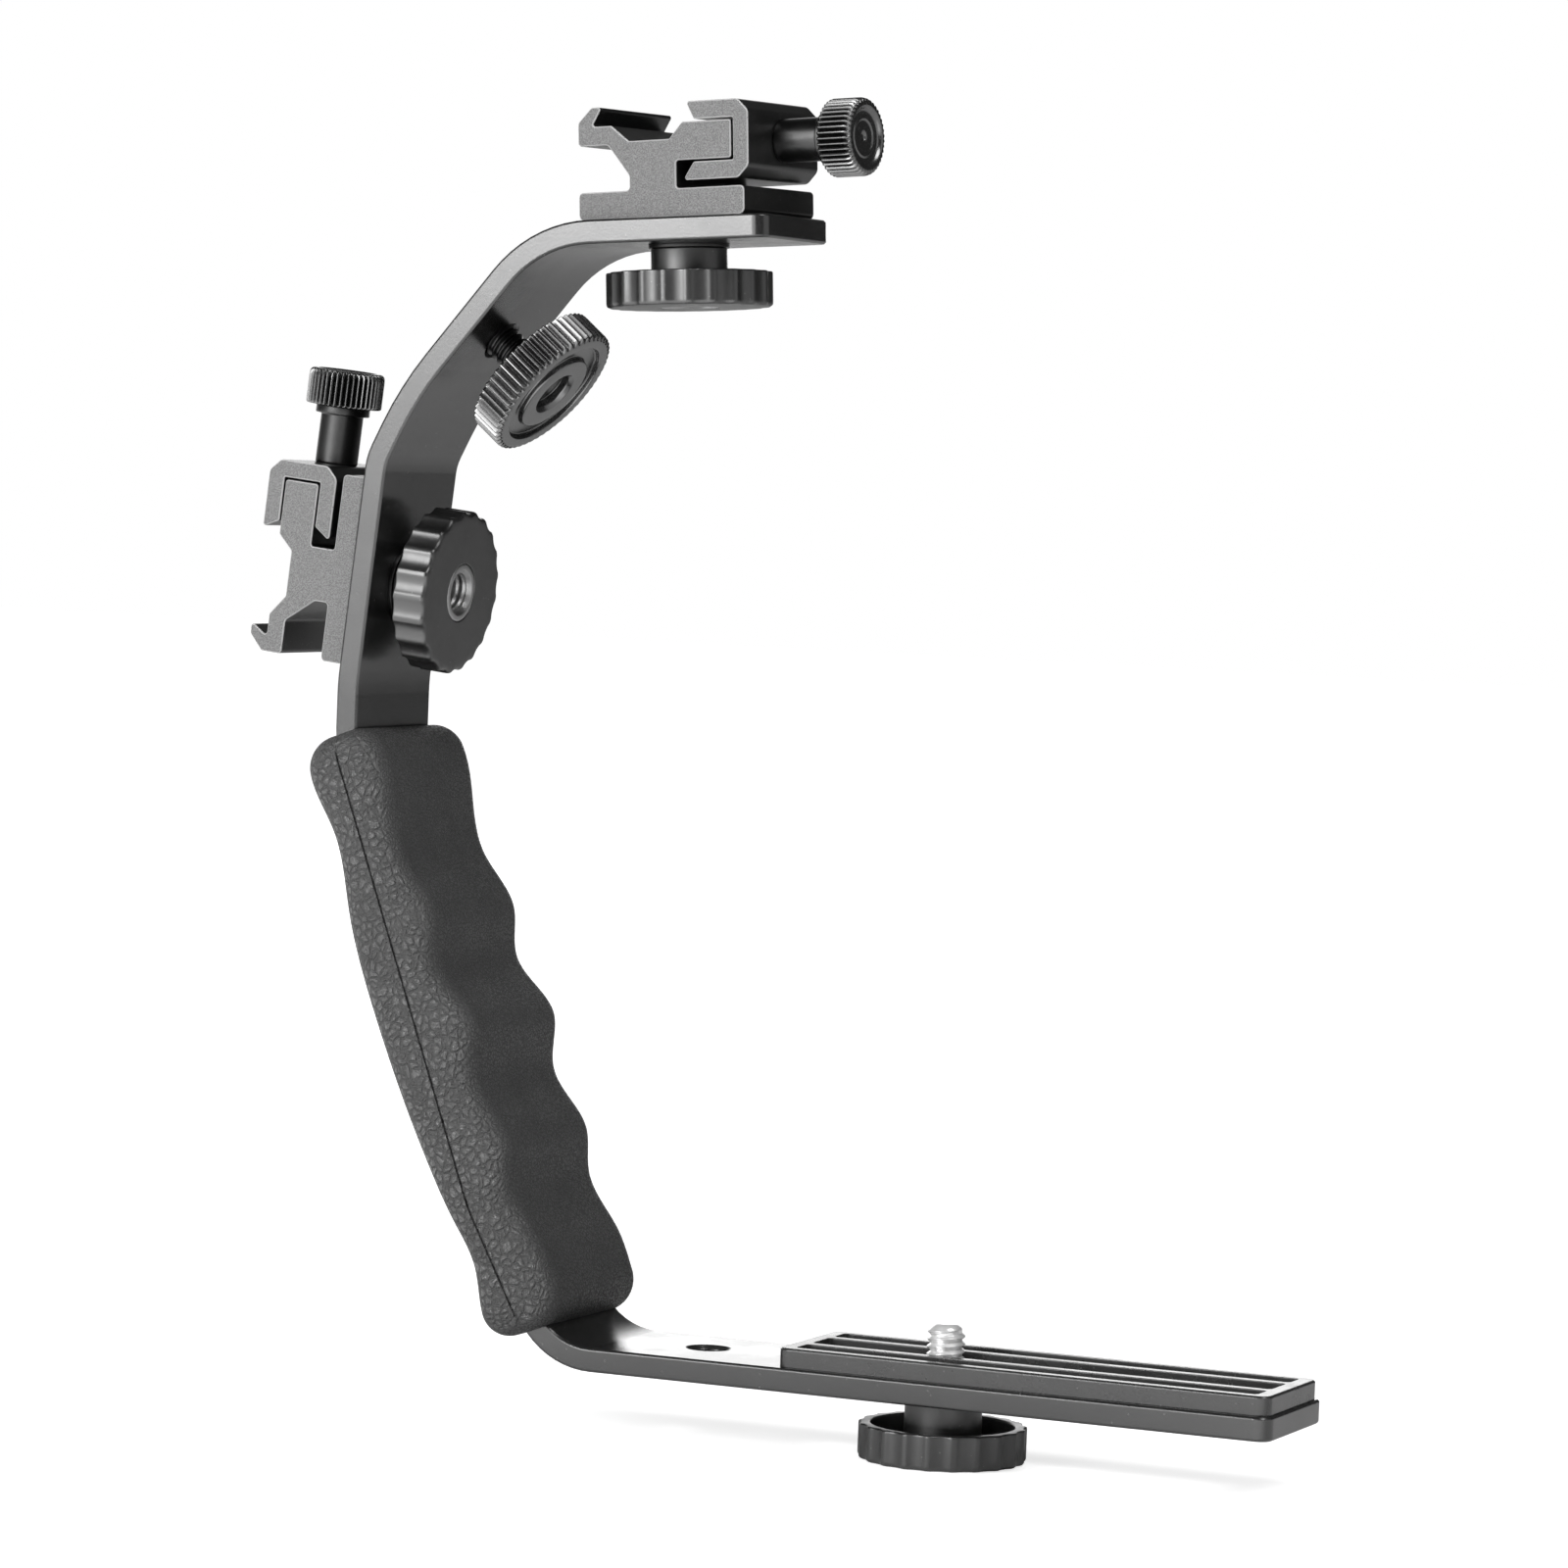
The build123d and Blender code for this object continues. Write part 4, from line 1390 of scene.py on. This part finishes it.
@dataclass(frozen=True)
class Softbox:
    """A flat soft lamp, aimed at a point of the bracket."""

    name: str
    place: Triple
    width: float
    height: float
    power: float
    target: Triple = (0.0, 0.0, 0.11)

    def build(self) -> None:
        """Make the lamp."""
        data = bpy.data.lights.new(self.name, "AREA")
        data.shape = "RECTANGLE"
        data.size = self.width
        data.size_y = self.height
        data.energy = self.power
        lamp = placed(self.name, data)
        aim = (Vector(self.target) - Vector(self.place)).to_track_quat("-Z", "Y")
        lamp.matrix_world = Matrix.Translation(self.place) @ aim.to_matrix().to_4x4()
        lamp.visible_camera = False


@dataclass(frozen=True)
class Studio:
    """Pale floor, white surroundings and soft lamps.

    Attributes:
        floor_height: height of the floor.
        floor_reach: half its width.
        floor_colour: its brightness under the lamps.
        fill: strength of the surroundings as a light.
        backdrop: direction of the backdrop.
        backdrop_edge: how squarely a ray faces it where it begins and is whole.
        room_reflection: brightness of the room beside it, in reflections.
        front: direction of the floor that reflections show bright.
        front_edge: how squarely a place lies that way where it begins and is whole.
        floor_reflection: brightness of the floor in reflections, behind and in front.
        painted_shadow_reach: distances from the bracket between which the floor in reflections
            grows from dark to full, a painted shadow round the bracket.
        shown_reach: distances between which the floor grows white for the camera.
        shown_near: its own light for the camera at the first of them.
        lamps: the lamps.
    """

    floor_height: float = -0.0106
    floor_reach: float = 4.0
    floor_colour: float = 0.8
    fill: float = 0.16
    backdrop: Triple = (-0.6, 0.8, 0.0)
    backdrop_edge: Pair = (0.8, 0.93)
    room_reflection: float = 0.045
    front: Triple = (-0.45, -0.89, 0.0)
    front_edge: Pair = (-0.3, 0.15)
    floor_reflection: Pair = (0.05, 1.0)
    painted_shadow_reach: Pair = (0.07, 0.14)
    shown_reach: Pair = (0.2, 1.1)
    shown_near: float = 0.7
    lamps: tuple[Softbox, ...] = (
        Softbox("front_left_softbox", (-0.445, -1.22, 0.55), 1.3, 1.0, 9.4),
        Softbox("front_left_core", (-0.52, -1.1, 0.57), 0.42, 0.74, 7.4),
        Softbox("right_softbox", (1.3, 0.07, 0.35), 1.15, 0.9, 1.6),
        Softbox("overhead_softbox", (0.75, -0.3, 1.25), 0.7, 0.7, 8.0),
        Softbox("back_softbox", (-0.7, 1.45, 0.27), 1.3, 0.34, 2.6),
    )

    def build(self) -> None:
        """Make the world, the floor and the lamps."""
        self._world()
        self._floor()
        for lamp in self.lamps:
            lamp.build()

    @staticmethod
    def _seen(path: bpy.types.bpy_prop_collection, shader: ShaderTree) -> Socket:
        """1 for a ray of the camera, in metal or through glass, from a Light Path's outputs."""
        direct = shader.math("MAXIMUM", path["Is Camera Ray"], path["Is Glossy Ray"])
        return shader.math("MAXIMUM", direct, path["Is Transmission Ray"])

    def _world(self) -> None:
        """White where it is seen, dimmer where it lights or lies beside the backdrop."""
        world = bpy.data.worlds.new("studio")
        shader = ShaderTree.emptied(world)
        path = shader.add("ShaderNodeLightPath").outputs
        toward = shader.add("ShaderNodeTexCoord").outputs["Generated"]
        backdrop = shader.ramp(shader.dot(toward, self.backdrop), *self.backdrop_edge,
                               self.room_reflection, 1.0)
        white = shader.math("MAXIMUM", path["Is Camera Ray"], backdrop)
        lighting, shown = (shader.add("ShaderNodeBackground",
                                      {"Color": grey(1.0), "Strength": strength}).outputs[0]
                           for strength in (self.fill, white))
        choice = shader.add("ShaderNodeMixShader",
                            {0: self._seen(path, shader), 1: lighting, 2: shown})
        shader.add("ShaderNodeOutputWorld", {"Surface": choice.outputs[0]})
        bpy.context.scene.world = world

    def _floor(self) -> None:
        """A white floor under the lowest wheel that keeps a faint shadow, with a painted shadow
        round the bracket in reflections.
        """
        reach = self.floor_reach
        mesh = bpy.data.meshes.new("floor")
        corners = [(x, y, self.floor_height) for x, y in
                   ((-reach, -reach), (reach, -reach), (reach, reach), (-reach, reach))]
        mesh.from_pydata(corners, [], [(0, 1, 2, 3)])
        floor = placed("floor", mesh)
        material = bpy.data.materials.new("floor_white")
        shader = ShaderTree.emptied(material)
        place = shader.add("ShaderNodeNewGeometry").outputs["Position"]
        distance = shader.vector_math("LENGTH", place).outputs["Value"]
        toward = shader.vector_math("NORMALIZE", place).outputs["Vector"]
        mirrored = shader.ramp(shader.dot(toward, self.front), *self.front_edge,
                               *self.floor_reflection)
        # Painted shadow: in reflections the floor darkens near the bracket.
        mirrored = shader.math("MULTIPLY", mirrored, shader.ramp(distance, *self.painted_shadow_reach))
        path = shader.add("ShaderNodeLightPath").outputs
        camera = path["Is Camera Ray"]
        white = shader.ramp(distance, *self.shown_reach, self.shown_near, 1.0)
        shown = shader.math("MULTIPLY", camera, white)
        other = shader.math("SUBTRACT", self._seen(path, shader), camera)
        light = shader.math("ADD", shown, shader.math("MULTIPLY", other, mirrored))
        paper = shader.add("ShaderNodeBsdfDiffuse", {"Color": grey(self.floor_colour)})
        shine = shader.add("ShaderNodeEmission", {"Color": grey(1.0), "Strength": light})
        both = shader.add("ShaderNodeAddShader", {0: paper.outputs[0], 1: shine.outputs[0]})
        shader.add("ShaderNodeOutputMaterial", {"Surface": both.outputs[0]})
        mesh.materials.append(material)


def main() -> None:
    """Build the camera, the studio, the finishes and every dressed piece."""
    logging.basicConfig(level=logging.INFO, format="%(name)s: %(message)s")
    PhotoCamera().build()
    Studio().build()
    bpy.context.scene.view_settings.view_transform = "Standard"
    finishes = Finishes(Effects())
    finishes.dress_nodes()
    Hardware().build(finishes)


if __name__ == "__main__":
    main()
